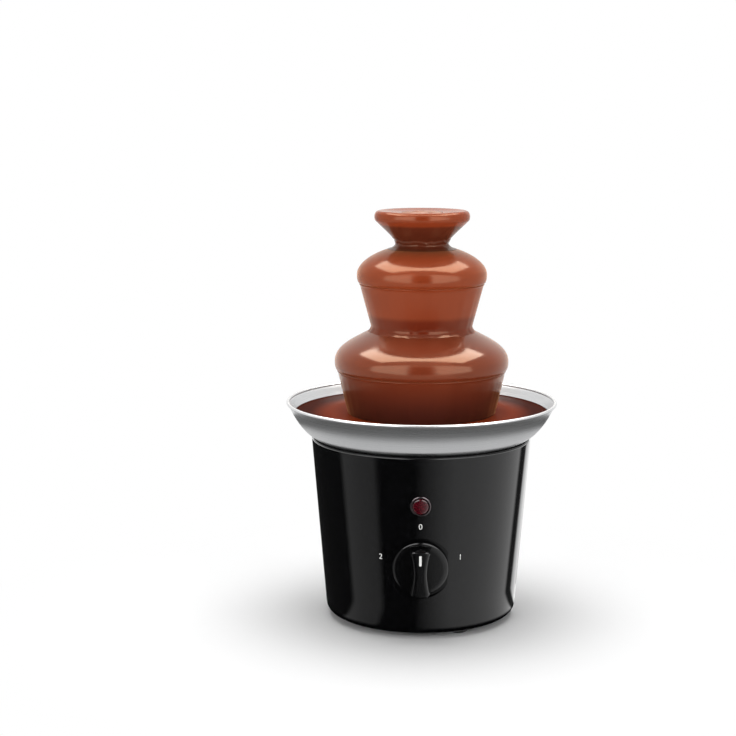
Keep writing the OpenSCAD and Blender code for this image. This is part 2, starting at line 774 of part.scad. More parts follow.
module drive_hexagon() color("darkgray")
    translate([0, 0, hex_z]) difference() {
        hexagon(drive_hex_w, hex_h);
        translate([0, 0, -cut]) cylinder(r = shaft_r + fit_gap, h = hex_h + 2 * cut);
    }

module bowl() color("#c9cbcc")
    rotate_extrude() union() {
        polygon(concat([[hub_r + fit_gap, bowl_z]], bowl_line, reversed(beside(bowl_line, bowl_wall)),
            [[hub_r + fit_gap, floor_z]]));
        translate(bead_centre) circle(r = bead_r);
    }

module bowl_gasket() color("#161616")
    translate([0, 0, top_z]) ring(gasket_r, gasket_r - gasket_w, gasket_t);

module bowl_studs() color("silver")
    round_axis(stud_count, stud_ring_r, stud_turn) translate([0, 0, bowl_z - flange_t - stud_len])
        cylinder(r = stud_r, h = stud_len + flange_t);

module bowl_nuts() color("silver")
    round_axis(stud_count, stud_ring_r, stud_turn)
        translate([0, 0, top_z - flange_t - nut_h]) difference() {
            hexagon(nut_w, nut_h);
            translate([0, 0, -cut]) cylinder(r = stud_r + fit_gap, h = nut_h + 2 * cut);
        }

module bowl_hub() color("#d8d8d4")
    difference() {
        union() {
            translate([0, 0, floor_z]) cylinder(r = hub_flange_r, h = hub_flange_t);
            translate([0, 0, floor_z - hub_len]) cylinder(r = hub_r, h = hub_top_z - floor_z + hub_len);
        }
        translate([0, 0, floor_z - hub_len - cut])
            cylinder(r = shaft_r + running_gap, h = hub_top_z - floor_z + hub_len + 2 * cut);
        translate([0, 0, hub_top_z - seal_h]) cylinder(r = seal_r + fit_gap, h = seal_h + cut);
    }

module hub_nut() color("silver")
    translate([0, 0, heater_z - hub_nut_h]) difference() {
        hexagon(hub_nut_w, hub_nut_h);
        translate([0, 0, -cut]) cylinder(r = hub_r + fit_gap, h = hub_nut_h + 2 * cut);
    }

module shaft_seal() color("#303030")
    translate([0, 0, hub_top_z - seal_h]) ring(seal_r, shaft_r + running_gap, seal_h);

module heater_plate() color("gainsboro")
    translate([0, 0, heater_z]) ring(heater_plate_r, heater_hole_r, heater_plate_t);

module heater_coil() color("#6f6f6a")
    translate([0, 0, heater_z - heater_tube_r]) rotate(90 + (360 - heater_angle) / 2) {
        rotate_extrude(angle = heater_angle) translate([heater_ring_r, 0]) circle(r = heater_tube_r);
        for (a = [heater_pin_angle, heater_angle - heater_pin_angle])
            rotate(a) translate([heater_ring_r, 0, -heater_pin_len])
                cylinder(r = heater_pin_r, h = heater_pin_len);
    }

module thermostat() color("#b8a070")
    translate([thermostat_x, 0, heater_z - thermostat_h]) cylinder(r = thermostat_r, h = thermostat_h);

module thermal_fuse() color("#c8b89a")
    translate([-thermostat_x, 0, heater_z - fuse_clip[2] / 2]) {
        cube(fuse_clip, center = true);
        rotate([90, 0, 0]) cylinder(r = fuse_r, h = fuse_len, center = true);
    }

// The screw's core fits over the drive hexagon and lifts off it
module screw_core() color("#efe9dc")
    difference() {
        union() {
            translate([0, 0, sleeve_z]) cylinder(r = sleeve_r, h = sleeve_top_z - sleeve_z);
            translate([0, 0, sleeve_top_z]) cylinder(r = screw_core_r, h = screw_top_z - sleeve_top_z);
        }
        translate([0, 0, sleeve_z - cut]) cylinder(r = hub_r + sleeve_gap, h = hex_z - sleeve_z + cut);
        translate([0, 0, hex_z - cut]) hexagon(drive_hex_w + 2 * hex_gap, hex_h + hex_gap + cut);
    }

// Inner radius of the blade, which stands on the sleeve and then on the core
function blade_in_r(z) = (z < sleeve_top_z - blade_t ? sleeve_r : screw_core_r) - blade_sink;
blade_turns = (blade_top_z - blade_t - sleeve_z) / screw_pitch;
blade_rings = ceil(blade_turns * blade_steps);
blade_points = [for (i = [0:blade_rings])
    let (t = i / blade_rings, z = sleeve_z + t * (blade_top_z - blade_t - sleeve_z),
        a = 360 * blade_turns * t, d = [cos(a), sin(a)], r = blade_in_r(z))
    each [[r * d[0], r * d[1], z], [screw_r * d[0], screw_r * d[1], z],
        [screw_r * d[0], screw_r * d[1], z + blade_t], [r * d[0], r * d[1], z + blade_t]]];
blade_faces = concat(
    [[0, 1, 2], [0, 2, 3]],
    [for (i = [0:blade_rings - 1], k = [0:3])
        let (p = 4 * i + k, q = 4 * i + (k + 1) % 4) each [[p, p + 4, q + 4], [p, q + 4, q]]],
    [let (e = 4 * blade_rings) each [[e, e + 2, e + 1], [e, e + 3, e + 2]]]);

module screw_blade() color("#efe9dc")
    polyhedron(points = blade_points, faces = blade_faces);

module tower_tube() color("#efe9dc")
    difference() {
        rotate_extrude() polygon([
            [tube_bore_r, floor_z], [tower_foot_r, floor_z], [tower_foot_r, floor_z + tower_foot_t],
            [tube_low_r, floor_z + tower_foot_t], [tube_low_r, lower_seat_z], [tube_mid_r, lower_seat_z],
            [tube_mid_r, upper_seat_z], [tube_top_r, upper_seat_z], [tube_top_r, upper_top_z],
            [spigot_r, upper_top_z], [spigot_r, upper_top_z + spigot_h],
            [tube_bore_r, upper_top_z + spigot_h]]);
        for (i = [0:window_count - 1]) rotate(i * 360 / window_count - window_angle / 2)
            translate([0, 0, floor_z + tower_foot_t]) rotate_extrude(angle = window_angle)
                translate([tube_bore_r - cut, 0])
                    square([tube_low_r - tube_bore_r + 2 * cut, inlet_window_h]);
    }

// A tier is a dome on a collar that sits on a shoulder of the tube
module tier(line, collar_in_r, seat_z) {
    top = line[0][1];
    bore = collar_in_r + fit_gap;
    under = reversed(beside(line, -tier_wall));
    rotate_extrude() polygon(concat(
        [[bore, seat_z], [bore, top]], line,
        [for (p = under) [p[0], max(p[1], line[len(line) - 1][1])]],
        [[bore + collar_wall, top - tier_wall], [bore + collar_wall, seat_z]]));
}

module lower_tier() color("#efe9dc")
    tier(lower_dome, tube_mid_r, lower_seat_z);

module upper_tier() color("#efe9dc")
    tier(upper_dome, tube_top_r, upper_seat_z);

module crown() color("#efe9dc")
    rotate_extrude() polygon(concat(
        [[crown_neck_r, crown_base_z]], crown_line,
        [[crown_r - tier_wall, crown_line[curve_steps][1]],
            [tube_bore_r, crown_base_z + crown_bore_h], [tube_bore_r, crown_base_z + spigot_h],
            [spigot_r + fit_gap, crown_base_z + spigot_h], [spigot_r + fit_gap, crown_base_z]]));

module chocolate_pool() color("#6b3418") {
    edge = [for (p = beside(bowl_line, bowl_wall + fit_gap)) if (p[1] < pool_z) p];
    inside = tower_foot_r + moving_gap;
    rotate_extrude() polygon(concat(
        [[inside, floor_z + fit_gap]], edge,
        [[radius_at(beside(bowl_line, bowl_wall + fit_gap), pool_z), pool_z], [inside, pool_z]]));
}

// Chocolate that covers a tier, gathers below its rim and falls as a curtain to its outer and inner landing
module flow(tier_line, skin_line, inner_r, landing) {
    rim = tier_line[len(tier_line) - 1];
    edge = skin_line[len(skin_line) - 1];
    lip = [edge[0] - lip_in, edge[1] - lip_drop];
    rotate_extrude() polygon(concat(
        [[inner_r, skin_line[0][1]]], skin_line,
        [[edge[0] - rim_in, edge[1] - rim_drop], lip], landing,
        [lip - [curtain_t, 0], [rim[0] - tier_wall, rim[1] - fit_gap], [rim[0] + fit_gap, rim[1] - fit_gap]],
        reversed([for (p = tier_line) p + [fit_gap, fit_gap]]),
        [[inner_r, tier_line[0][1] + fit_gap]]));
}

module chocolate_lower_flow() color("#7a3c1e")
    flow(lower_dome, lower_skin, tube_mid_r + fit_gap,
        [for (r = [lower_curtain_r, lower_curtain_r - curtain_t]) [r, pool_z + skin_gap]]);

module chocolate_upper_flow() color("#8a4526")
    flow(upper_dome, upper_skin, crown_neck_r + fit_gap,
        [for (r = [upper_curtain_r, upper_curtain_r - curtain_t]) [r, lookup(r, lower_skin) + skin_gap]]);

// Chocolate that fills the crown, runs over its lip and clings below it
module chocolate_crown() color("#8a4526") {
    lip = crown_skin[curve_steps];
    edge = crown_line[curve_steps];
    rotate_extrude() polygon(concat(
        [[crown_neck_r + fit_gap, crown_skin_z]], crown_skin,
        curve(lip, lip + brim_bulge, [lip[0] + brim_round, crown_z], [lip[0] - brim_in, crown_z],
            edge_steps),
        [[tube_bore_r, crown_z - crown_dip], [tube_bore_r, crown_base_z + crown_bore_h + skin_gap],
            [edge[0] - tier_wall - fit_gap, edge[1] + fit_gap], edge + [fit_gap, fit_gap]],
        [for (i = [curve_steps - 1:-1:1]) crown_line[i] + [fit_gap, -fit_gap]]));
}

// Chocolate that wells up round the top of the screw and turns with it
module chocolate_swirl() color("#8a4526")
    translate([0, 0, screw_top_z]) rotate_extrude() polygon(concat(
        [[0, 0], [screw_r, 0]],
        curve([screw_r, swirl_h - crown_dip], [screw_r / 2, swirl_h - crown_dip],
            [screw_r / 3, swirl_h], [0, swirl_h], edge_steps)));

base_housing();
bottom_cover();
rubber_feet();
cover_screws();
cord_inlet();
inlet_nut();
terminal_block();
rotary_switch();
switch_nut();
switch_shaft();
knob();
knob_mark();
lamp_bezel();
lamp_lens();
neon_lamp();
lamp_clip();
motor_can();
stator_coil();
rotor();
rotor_pinion();
motor_screws();
lower_gear_plate();
upper_gear_plate();
plate_spacers();
plate_screws();
gear_bushes();
idler_gear();
idler_shaft();
output_gear();
output_shaft();
shaft_clip();
drive_hexagon();
bowl();
bowl_gasket();
bowl_studs();
bowl_nuts();
bowl_hub();
hub_nut();
shaft_seal();
heater_plate();
heater_coil();
thermostat();
thermal_fuse();
screw_core();
screw_blade();
tower_tube();
lower_tier();
upper_tier();
crown();
chocolate_pool();
chocolate_lower_flow();
chocolate_upper_flow();
chocolate_crown();
chocolate_swirl();
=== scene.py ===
import json
import math

import bmesh
import bpy
from mathutils import Euler, Matrix, Vector, noise
from mathutils.geometry import interpolate_bezier


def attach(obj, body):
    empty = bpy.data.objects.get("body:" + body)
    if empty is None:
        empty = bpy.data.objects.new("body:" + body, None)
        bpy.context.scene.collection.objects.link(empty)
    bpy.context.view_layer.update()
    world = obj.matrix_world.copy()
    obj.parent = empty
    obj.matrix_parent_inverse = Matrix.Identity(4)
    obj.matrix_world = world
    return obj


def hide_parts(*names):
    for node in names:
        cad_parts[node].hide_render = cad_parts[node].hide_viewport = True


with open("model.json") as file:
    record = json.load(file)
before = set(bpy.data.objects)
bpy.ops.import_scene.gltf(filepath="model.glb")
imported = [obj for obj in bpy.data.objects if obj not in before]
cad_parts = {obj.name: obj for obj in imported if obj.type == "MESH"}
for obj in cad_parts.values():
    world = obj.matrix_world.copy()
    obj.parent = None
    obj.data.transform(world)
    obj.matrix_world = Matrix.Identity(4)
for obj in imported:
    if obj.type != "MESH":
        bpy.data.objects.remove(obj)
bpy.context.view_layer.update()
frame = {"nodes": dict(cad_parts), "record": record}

# Camera and studio
# A long lens looks a little down on the fountain, which stands low and to the right in the frame.
# One soft lamp hangs above it and two stand either side of the camera. They light it and aren't
# mirrored: what it mirrors comes with the reflectors.
look_down = 9.07  # degrees
look_left = 1.87
scene = bpy.context.scene
scene.view_settings.view_transform = "Standard"
camera = bpy.data.objects.new("photo_camera", bpy.data.cameras.new("photo_camera"))
camera.data.lens = 81
camera.data.sensor_width = 36
camera.data.clip_start = 0.05
camera.location = (0, -1.15, 0.36)
camera.rotation_euler = Euler((math.radians(90 - look_down), 0, math.radians(look_left)))
scene.collection.objects.link(camera)
scene.camera = camera


def softbox(name, place, aim, width, height, watts):
    """A rectangular lamp that lights the object without showing in it."""
    lamp = bpy.data.lights.new(name, "AREA")
    lamp.shape = "RECTANGLE"
    lamp.size = width
    lamp.size_y = height
    lamp.energy = watts
    holder = bpy.data.objects.new(name, lamp)
    holder.location = place
    holder.rotation_euler = (Vector(aim) - Vector(place)).to_track_quat("-Z", "Y").to_euler()
    holder.visible_glossy = False
    scene.collection.objects.link(holder)


softbox("overhead_softbox", (0, 0.14, 1.25), (0, 0.13, 0), width=1.2, height=1.03, watts=16)
softbox("left_softbox", (-0.85, -0.91, 0.4), (0, 0, 0.2), width=1.2, height=0.9, watts=7)
softbox("right_softbox", (0.84, -0.93, 0.4), (0, 0, 0.2), width=1.2, height=0.9, watts=7)


def node(tree, kind, **values):
    """A new node with its settings and inputs by name, where _ stands for a space."""
    made = tree.nodes.new(kind)
    for name, value in values.items():
        if hasattr(made, name):
            setattr(made, name, value)
        else:
            made.inputs[name.replace("_", " ")].default_value = value
    return made


def connect(tree, *pairs):
    """Links each pair of the socket that is fed and the socket that feeds it."""
    for fed, source in pairs:
        tree.links.new(source, fed)


def seen_or_mirrored(tree):
    """A mask of the rays that come from the camera, a mirror or glass."""
    path = node(tree, "ShaderNodeLightPath")
    mirrored = node(tree, "ShaderNodeMath", operation="MAXIMUM")
    seen = node(tree, "ShaderNodeMath", operation="MAXIMUM")
    connect(tree,
            (mirrored.inputs[0], path.outputs["Is Glossy Ray"]),
            (mirrored.inputs[1], path.outputs["Is Transmission Ray"]),
            (seen.inputs[0], path.outputs["Is Camera Ray"]),
            (seen.inputs[1], mirrored.outputs[0]))
    return seen.outputs[0]


room_light = 0.2
world = bpy.data.worlds.new("studio")
scene.world = world
world.use_nodes = True
sky = world.node_tree
sky.nodes.clear()
sky_level = node(sky, "ShaderNodeMapRange", To_Min=room_light, To_Max=1.0)
sky_white = node(sky, "ShaderNodeBackground", Color=(1, 1, 1, 1))
sky_out = node(sky, "ShaderNodeOutputWorld")
connect(sky,
        (sky_level.inputs["Value"], seen_or_mirrored(sky)),
        (sky_white.inputs["Strength"], sky_level.outputs["Result"]),
        (sky_out.inputs["Surface"], sky_white.outputs[0]))

# Table top
# A wide pale sheet that keeps the shadow near the base and runs out to plain white. It is clear
# from below, so that the underside can be seen.
shadow_from = 0.08
shadow_to = 0.32


def shader_of(surface):
    return surface.node_tree.nodes["Principled BSDF"]


def material(name, color, roughness, metallic=0.0):
    made = bpy.data.materials.new(name)
    made.use_nodes = True
    shader = shader_of(made)
    shader.inputs["Base Color"].default_value = (*color, 1)
    shader.inputs["Roughness"].default_value = roughness
    shader.inputs["Metallic"].default_value = metallic
    return made


SHARP_ANGLE = 35


def finish_piece(name, bm, surface, sharp_angle=SHARP_ANGLE):
    """Makes the object of a mesh, smooth but for the edges that are sharper than the angle."""
    mesh = bpy.data.meshes.new(name)
    bm.to_mesh(mesh)
    bm.free()
    mesh.materials.append(surface)
    mesh.shade_smooth()
    mesh.set_sharp_from_angle(angle=math.radians(sharp_angle))
    made = bpy.data.objects.new(name, mesh)
    scene.collection.objects.link(made)
    return made


floor_paint = material("pale_table", (0.9, 0.9, 0.9), 0.6)
floor_shader = shader_of(floor_paint)
floor_shader.inputs["Specular IOR Level"].default_value = 0
floor_tree = floor_paint.node_tree
floor_place = node(floor_tree, "ShaderNodeTexCoord")
floor_reach = node(floor_tree, "ShaderNodeVectorMath", operation="LENGTH")
floor_far = node(floor_tree, "ShaderNodeMapRange", interpolation_type="SMOOTHSTEP",
                 From_Min=shadow_from, From_Max=shadow_to)
floor_share = node(floor_tree, "ShaderNodeMath", operation="MULTIPLY")
floor_white = node(floor_tree, "ShaderNodeEmission", Color=(1, 1, 1, 1), Strength=1.0)
floor_above = node(floor_tree, "ShaderNodeMixShader")
floor_side = node(floor_tree, "ShaderNodeNewGeometry")
floor_clear = node(floor_tree, "ShaderNodeBsdfTransparent")
floor_both = node(floor_tree, "ShaderNodeMixShader")
connect(floor_tree,
        (floor_reach.inputs[0], floor_place.outputs["Object"]),
        (floor_far.inputs["Value"], floor_reach.outputs["Value"]),
        (floor_share.inputs[0], floor_far.outputs["Result"]),
        (floor_share.inputs[1], seen_or_mirrored(floor_tree)),
        (floor_above.inputs["Fac"], floor_share.outputs[0]),
        (floor_above.inputs[1], floor_shader.outputs["BSDF"]),
        (floor_above.inputs[2], floor_white.outputs["Emission"]),
        (floor_both.inputs["Fac"], floor_side.outputs["Backfacing"]),
        (floor_both.inputs[1], floor_above.outputs["Shader"]),
        (floor_both.inputs[2], floor_clear.outputs["BSDF"]),
        (floor_tree.nodes["Material Output"].inputs["Surface"], floor_both.outputs["Shader"]))
floor_bm = bmesh.new()
bmesh.ops.create_circle(floor_bm, cap_ends=True, segments=96, radius=6)
floor = finish_piece("table_top", floor_bm, floor_paint)

# Reflectors
# Studio cards and cloths that show only in reflections. A graded sleeve round the base and a ring
# below the bowl give the black base and the steel their bands, and lit cloths, with a dark flag
# below the one overhead, give the chocolate its highlights.
above_floor = 0.0005
sleeve_inner_r = 0.062
sleeve_dark_r = 0.07
sleeve_lit_r = 0.078
sleeve_r = 0.11
sleeve_top = 0.128
sleeve_gain = 2.0
# Degrees to the right of the front, and how bright the sleeve is there
SLEEVE_TONES = (
    (-178, 0.3), (-150, 0.02), (-64, 0.02), (-59, 0.46), (-34, 0.36), (-29, 0.005), (-4, 0.005),
    (10, 0.40), (24, 0.76), (60, 1.0), (88, 1.2), (92, 0.05), (102, 0.05), (106, 1.5), (122, 1.5),
    (132, 0.4))


def glowing(name):
    """A material with no shader, for a surface that only glows."""
    made = material(name, (0, 0, 0), 1)
    made.node_tree.nodes.remove(shader_of(made))
    return made


def length_of(tree, place, parts):
    """How long a place is in the parts that count: (1, 1, 0) measures from the axis."""
    kept = node(tree, "ShaderNodeVectorMath", operation="MULTIPLY")
    kept.inputs[1].default_value = parts
    length = node(tree, "ShaderNodeVectorMath", operation="LENGTH")
    connect(tree, (kept.inputs[0], place), (length.inputs[0], kept.outputs["Vector"]))
    return length.outputs["Value"]


def grey_ramp(tree, tones):
    """A ramp of greys through pairs of a share of its range and a brightness."""
    made = node(tree, "ShaderNodeValToRGB")
    stops = made.color_ramp.elements
    for index, (share, tone) in enumerate(tones):
        stop = stops[0] if index == 0 else stops.new(share)
        stop.position = share
        stop.color = (tone, tone, tone, 1)
    # A new ramp's own white end
    stops.remove(stops[len(stops) - 1])
    return made


def ring_of(name, outline, surface):
    """Spins a line of (radius, height) points in metres into a thin reflector round the axis."""
    bm = bmesh.new()
    points = [bm.verts.new((r, 0, z)) for r, z in outline]
    edges = [bm.edges.new(pair) for pair in zip(points, points[1:])]
    bmesh.ops.spin(bm, geom=points + edges, cent=(0, 0, 0), axis=(0, 0, 1), angle=math.tau, steps=96,
                   use_merge=True)
    bmesh.ops.recalc_face_normals(bm, faces=bm.faces)
    return finish_piece(name, bm, surface)


sleeve_paint = glowing("graded_sleeve")
sleeve_tree = sleeve_paint.node_tree
sleeve_place = node(sleeve_tree, "ShaderNodeTexCoord").outputs["Object"]
sleeve_parts = node(sleeve_tree, "ShaderNodeSeparateXYZ")
sleeve_front = node(sleeve_tree, "ShaderNodeMath", operation="MULTIPLY")
sleeve_front.inputs[1].default_value = -1
sleeve_turn = node(sleeve_tree, "ShaderNodeMath", operation="ARCTAN2")
sleeve_share = node(sleeve_tree, "ShaderNodeMapRange", From_Min=-math.pi, From_Max=math.pi)
sleeve_ramp = grey_ramp(sleeve_tree, [((turn + 180) / 360, tone / sleeve_gain)
                                      for turn, tone in SLEEVE_TONES])
sleeve_level = node(sleeve_tree, "ShaderNodeMapRange", From_Min=sleeve_dark_r, From_Max=sleeve_lit_r,
                    To_Max=sleeve_gain)
sleeve_light = node(sleeve_tree, "ShaderNodeEmission")
connect(sleeve_tree,
        (sleeve_parts.inputs[0], sleeve_place),
        (sleeve_front.inputs[0], sleeve_parts.outputs["Y"]),
        (sleeve_turn.inputs[0], sleeve_parts.outputs["X"]),
        (sleeve_turn.inputs[1], sleeve_front.outputs[0]),
        (sleeve_share.inputs["Value"], sleeve_turn.outputs[0]),
        (sleeve_ramp.inputs["Fac"], sleeve_share.outputs["Result"]),
        (sleeve_light.inputs["Color"], sleeve_ramp.outputs["Color"]),
        (sleeve_level.inputs["Value"], length_of(sleeve_tree, sleeve_place, (1, 1, 0))),
        (sleeve_light.inputs["Strength"], sleeve_level.outputs["Result"]),
        (sleeve_tree.nodes["Material Output"].inputs["Surface"], sleeve_light.outputs["Emission"]))
sleeve_outline = ((sleeve_inner_r, above_floor), (sleeve_r, above_floor), (sleeve_r, sleeve_top))
sleeve = ring_of("reflector_sleeve", sleeve_outline, sleeve_paint)

ring_z = 0.1285
ring_inner_r = 0.0785
ring_outer_r = 0.113
ring_from = 0.06
ring_span = 0.1
glint_from = 0.004
glint_to = 0.014
# Metres from the axis, and how bright the ring below the bowl is there
RING_TONES = ((0.079, 0.68), (0.088, 0.64), (0.096, 0.16), (0.104, 0.10), (0.114, 0.10))
ring_paint = glowing("graded_ring")
ring_tree = ring_paint.node_tree
ring_place = node(ring_tree, "ShaderNodeTexCoord").outputs["Object"]
ring_share = node(ring_tree, "ShaderNodeMapRange", From_Min=ring_from, From_Max=ring_from + ring_span)
ring_ramp = grey_ramp(ring_tree, [((reach - ring_from) / ring_span, tone) for reach, tone in RING_TONES])
ring_light = node(ring_tree, "ShaderNodeEmission", Strength=1.0)
ring_side = node(ring_tree, "ShaderNodeNewGeometry")
ring_mix = node(ring_tree, "ShaderNodeMixShader")
ring_parts = node(ring_tree, "ShaderNodeSeparateXYZ")
ring_aside = node(ring_tree, "ShaderNodeMath", operation="ABSOLUTE")
ring_glint = node(ring_tree, "ShaderNodeMapRange", From_Min=glint_from, From_Max=glint_to,
                  To_Min=0.02, To_Max=3.5)
ring_below = node(ring_tree, "ShaderNodeEmission", Color=(1, 1, 1, 1))
connect(ring_tree,
        (ring_share.inputs["Value"], length_of(ring_tree, ring_place, (1, 1, 0))),
        (ring_ramp.inputs["Fac"], ring_share.outputs["Result"]),
        (ring_light.inputs["Color"], ring_ramp.outputs["Color"]),
        (ring_parts.inputs[0], ring_place),
        (ring_aside.inputs[0], ring_parts.outputs["X"]),
        (ring_glint.inputs["Value"], ring_aside.outputs[0]),
        (ring_below.inputs["Strength"], ring_glint.outputs["Result"]),
        (ring_mix.inputs["Fac"], ring_side.outputs["Backfacing"]),
        (ring_mix.inputs[1], ring_light.outputs["Emission"]),
        (ring_mix.inputs[2], ring_below.outputs["Emission"]),
        (ring_tree.nodes["Material Output"].inputs["Surface"], ring_mix.outputs["Shader"]))
bowl_ring = ring_of("bowl_ring", ((ring_inner_r, ring_z), (ring_outer_r, ring_z)), ring_paint)
# The steel mirrors the ring's front, and the base's upper edge its back
if bowl_ring.data.polygons[0].normal.z < 0:
    bowl_ring.data.flip_normals()


def card(name, place, width, height, surface, lean=math.pi / 2):
    """A flat rectangle that stands upright across the view, or lies level with a lean of 0."""
    bm = bmesh.new()
    bmesh.ops.create_grid(bm, x_segments=1, y_segments=1, size=0.5)
    stand = Matrix.Translation(place) @ Matrix.Rotation(lean, 4, "X")
    bmesh.ops.transform(bm, matrix=stand @ Matrix.Diagonal((width, height, 1, 1)), verts=bm.verts)
    return finish_piece(name, bm, surface)


def cloth(name, color, strength):
    """White cloth that is lit from behind."""
    made = material(name, (0, 0, 0), 0.9)
    shader_of(made).inputs["Emission Color"].default_value = (*color, 1)
    shader_of(made).inputs["Emission Strength"].default_value = strength
    return made


card_paint = material("dark_card", (0.03, 0.02, 0.015), 0.9)
front_card = card("front_card", (0, -1.0, 0.46), 0.46, 0.9, card_paint)
floor_card = ring_of("floor_card", ((0.16, above_floor), (0.335, above_floor)), card_paint)
top_glow = cloth("top_glow", (1.0, 0.94, 0.88), 11)
top_cloth = card("top_cloth", (0, 0.21, 1.24), 2.0, 1.17, top_glow, lean=0)
rear_glow = cloth("rear_glow", (1.0, 0.92, 0.8), 7)
rear_cloth = card("rear_cloth", (0, 1.3, 1.19), 0.5, 0.8, rear_glow, lean=0)
side_glow = cloth("side_glow", (1.0, 1.0, 1.0), 3.7)
left_cloth = card("left_cloth", (-1.38, -0.95, 0.55), 2.15, 1.3, side_glow)
right_cloth = card("right_cloth", (1.38, -0.95, 0.55), 2.15, 1.3, side_glow)
flag_place = Matrix.Translation((0, 0.6, 1.2)) @ Matrix.Diagonal((0.5, 0.72, 1, 1))
flag_bm = bmesh.new()
bmesh.ops.create_circle(flag_bm, cap_ends=True, segments=64, radius=1, matrix=flag_place)
overhead_flag = finish_piece("overhead_flag", flag_bm, card_paint)

for reflector in (sleeve, bowl_ring, front_card, floor_card, top_cloth, rear_cloth, left_cloth,
                  right_cloth, overhead_flag):
    reflector.visible_camera = False
    reflector.visible_diffuse = False
    reflector.visible_shadow = False
    reflector.visible_transmission = False

# Base housing
# Injection-moulded glossy black plastic: a slightly tapered wall with a rounded lower edge and a
# shoulder round the foot of the bowl. The knob's recess and the holes are moulded in.

# The object's sizes are in millimetres, and mm makes metres of them
mm = 0.001
base_low = 3
base_high = 126
base_low_r = 66.7
base_high_r = 77
taper = math.atan((base_high_r - base_low_r) / (base_high - base_low))
floor_high = 5.4
opening_r = 60.78
flange_low = 123
flange_r = 56
shoulder_high = 128.5
shoulder_r = 75.2
knob_z = 51
lamp_z = 95
inlet_z = 22
recess_r = 21.5
recess_depth = 2.4
recess_wall = 2
pad_inset = 1.2
shaft_hole_r = 4.6
lamp_hole_r = 5.5
inlet_hole_r = 6.1
cut_past = 8


def wall_r(z):
    """Outer radius of the base at a height, in millimetres."""
    return base_low_r + (z - base_low) * math.tan(taper)


def on_wall(z, turn=0.0):
    """Frame on the outside of the base at a height, with +Z out of the wall and +Y up it."""
    place = Matrix.Translation((0, -wall_r(z) * mm, z * mm))
    return Matrix.Rotation(turn, 4, "Z") @ place @ Matrix.Rotation(math.pi / 2 + taper, 4, "X")


def lathe(outline, steps=240, rounding=(), closed=True, place=None):
    """Spins an outline of (radius, height) points in millimetres about the axis, with the corners
    that rounding gives as (index, radius) rounded."""
    bm = bmesh.new()
    points = [bm.verts.new((r * mm, 0, z * mm)) for r, z in outline]
    following = points[1:] + points[:1] if closed else points[1:]
    for pair in zip(points, following):
        bm.edges.new(pair)
    for index, radius in rounding:
        bmesh.ops.bevel(bm, geom=[points[index]], offset=radius * mm, affect="VERTICES",
                        segments=6, profile=0.5, material=-1)
    bmesh.ops.spin(bm, geom=bm.verts[:] + bm.edges[:], cent=(0, 0, 0), axis=(0, 0, 1),
                   angle=math.tau, steps=steps, use_merge=True)
    bmesh.ops.remove_doubles(bm, verts=bm.verts, dist=1e-6)
    bmesh.ops.recalc_face_normals(bm, faces=bm.faces)
    if place:
        bmesh.ops.transform(bm, matrix=place, verts=bm.verts)
    return bm


def rod(radius, low, high, place):
    """A plain cylinder between two heights, in millimetres, that cuts or joins another piece."""
    bm = bmesh.new()
    middle = Matrix.Translation((0, 0, (low + high) / 2 * mm))
    bmesh.ops.create_cone(bm, cap_ends=True, segments=160, radius1=radius * mm, radius2=radius * mm,
                          depth=(high - low) * mm, matrix=place @ middle)
    return bm


def combine(piece, other_bm, operation):
    """Joins, cuts or trims a piece with another solid, and keeps the result as its mesh."""
    other = finish_piece("other_solid", other_bm, piece.data.materials[0])
    change = piece.modifiers.new("combine", "BOOLEAN")
    change.operation = operation
    change.object = other
    change.solver = "EXACT"
    ready = piece.evaluated_get(bpy.context.evaluated_depsgraph_get())
    piece.data = bpy.data.meshes.new_from_object(ready)
    piece.modifiers.clear()
    bpy.data.objects.remove(other)
    piece.data.shade_smooth()
    piece.data.set_sharp_from_angle(angle=math.radians(SHARP_ANGLE))


def effect_group(name, inputs, outputs):
    """A node group with the sockets given as (name, type), and its input and output nodes."""
    group = bpy.data.node_groups.new(name, "ShaderNodeTree")
    for label, kind in inputs:
        group.interface.new_socket(label, in_out="INPUT", socket_type=kind)
    for label, kind in outputs:
        group.interface.new_socket(label, in_out="OUTPUT", socket_type=kind)
    return group, node(group, "NodeGroupInput"), node(group, "NodeGroupOutput")


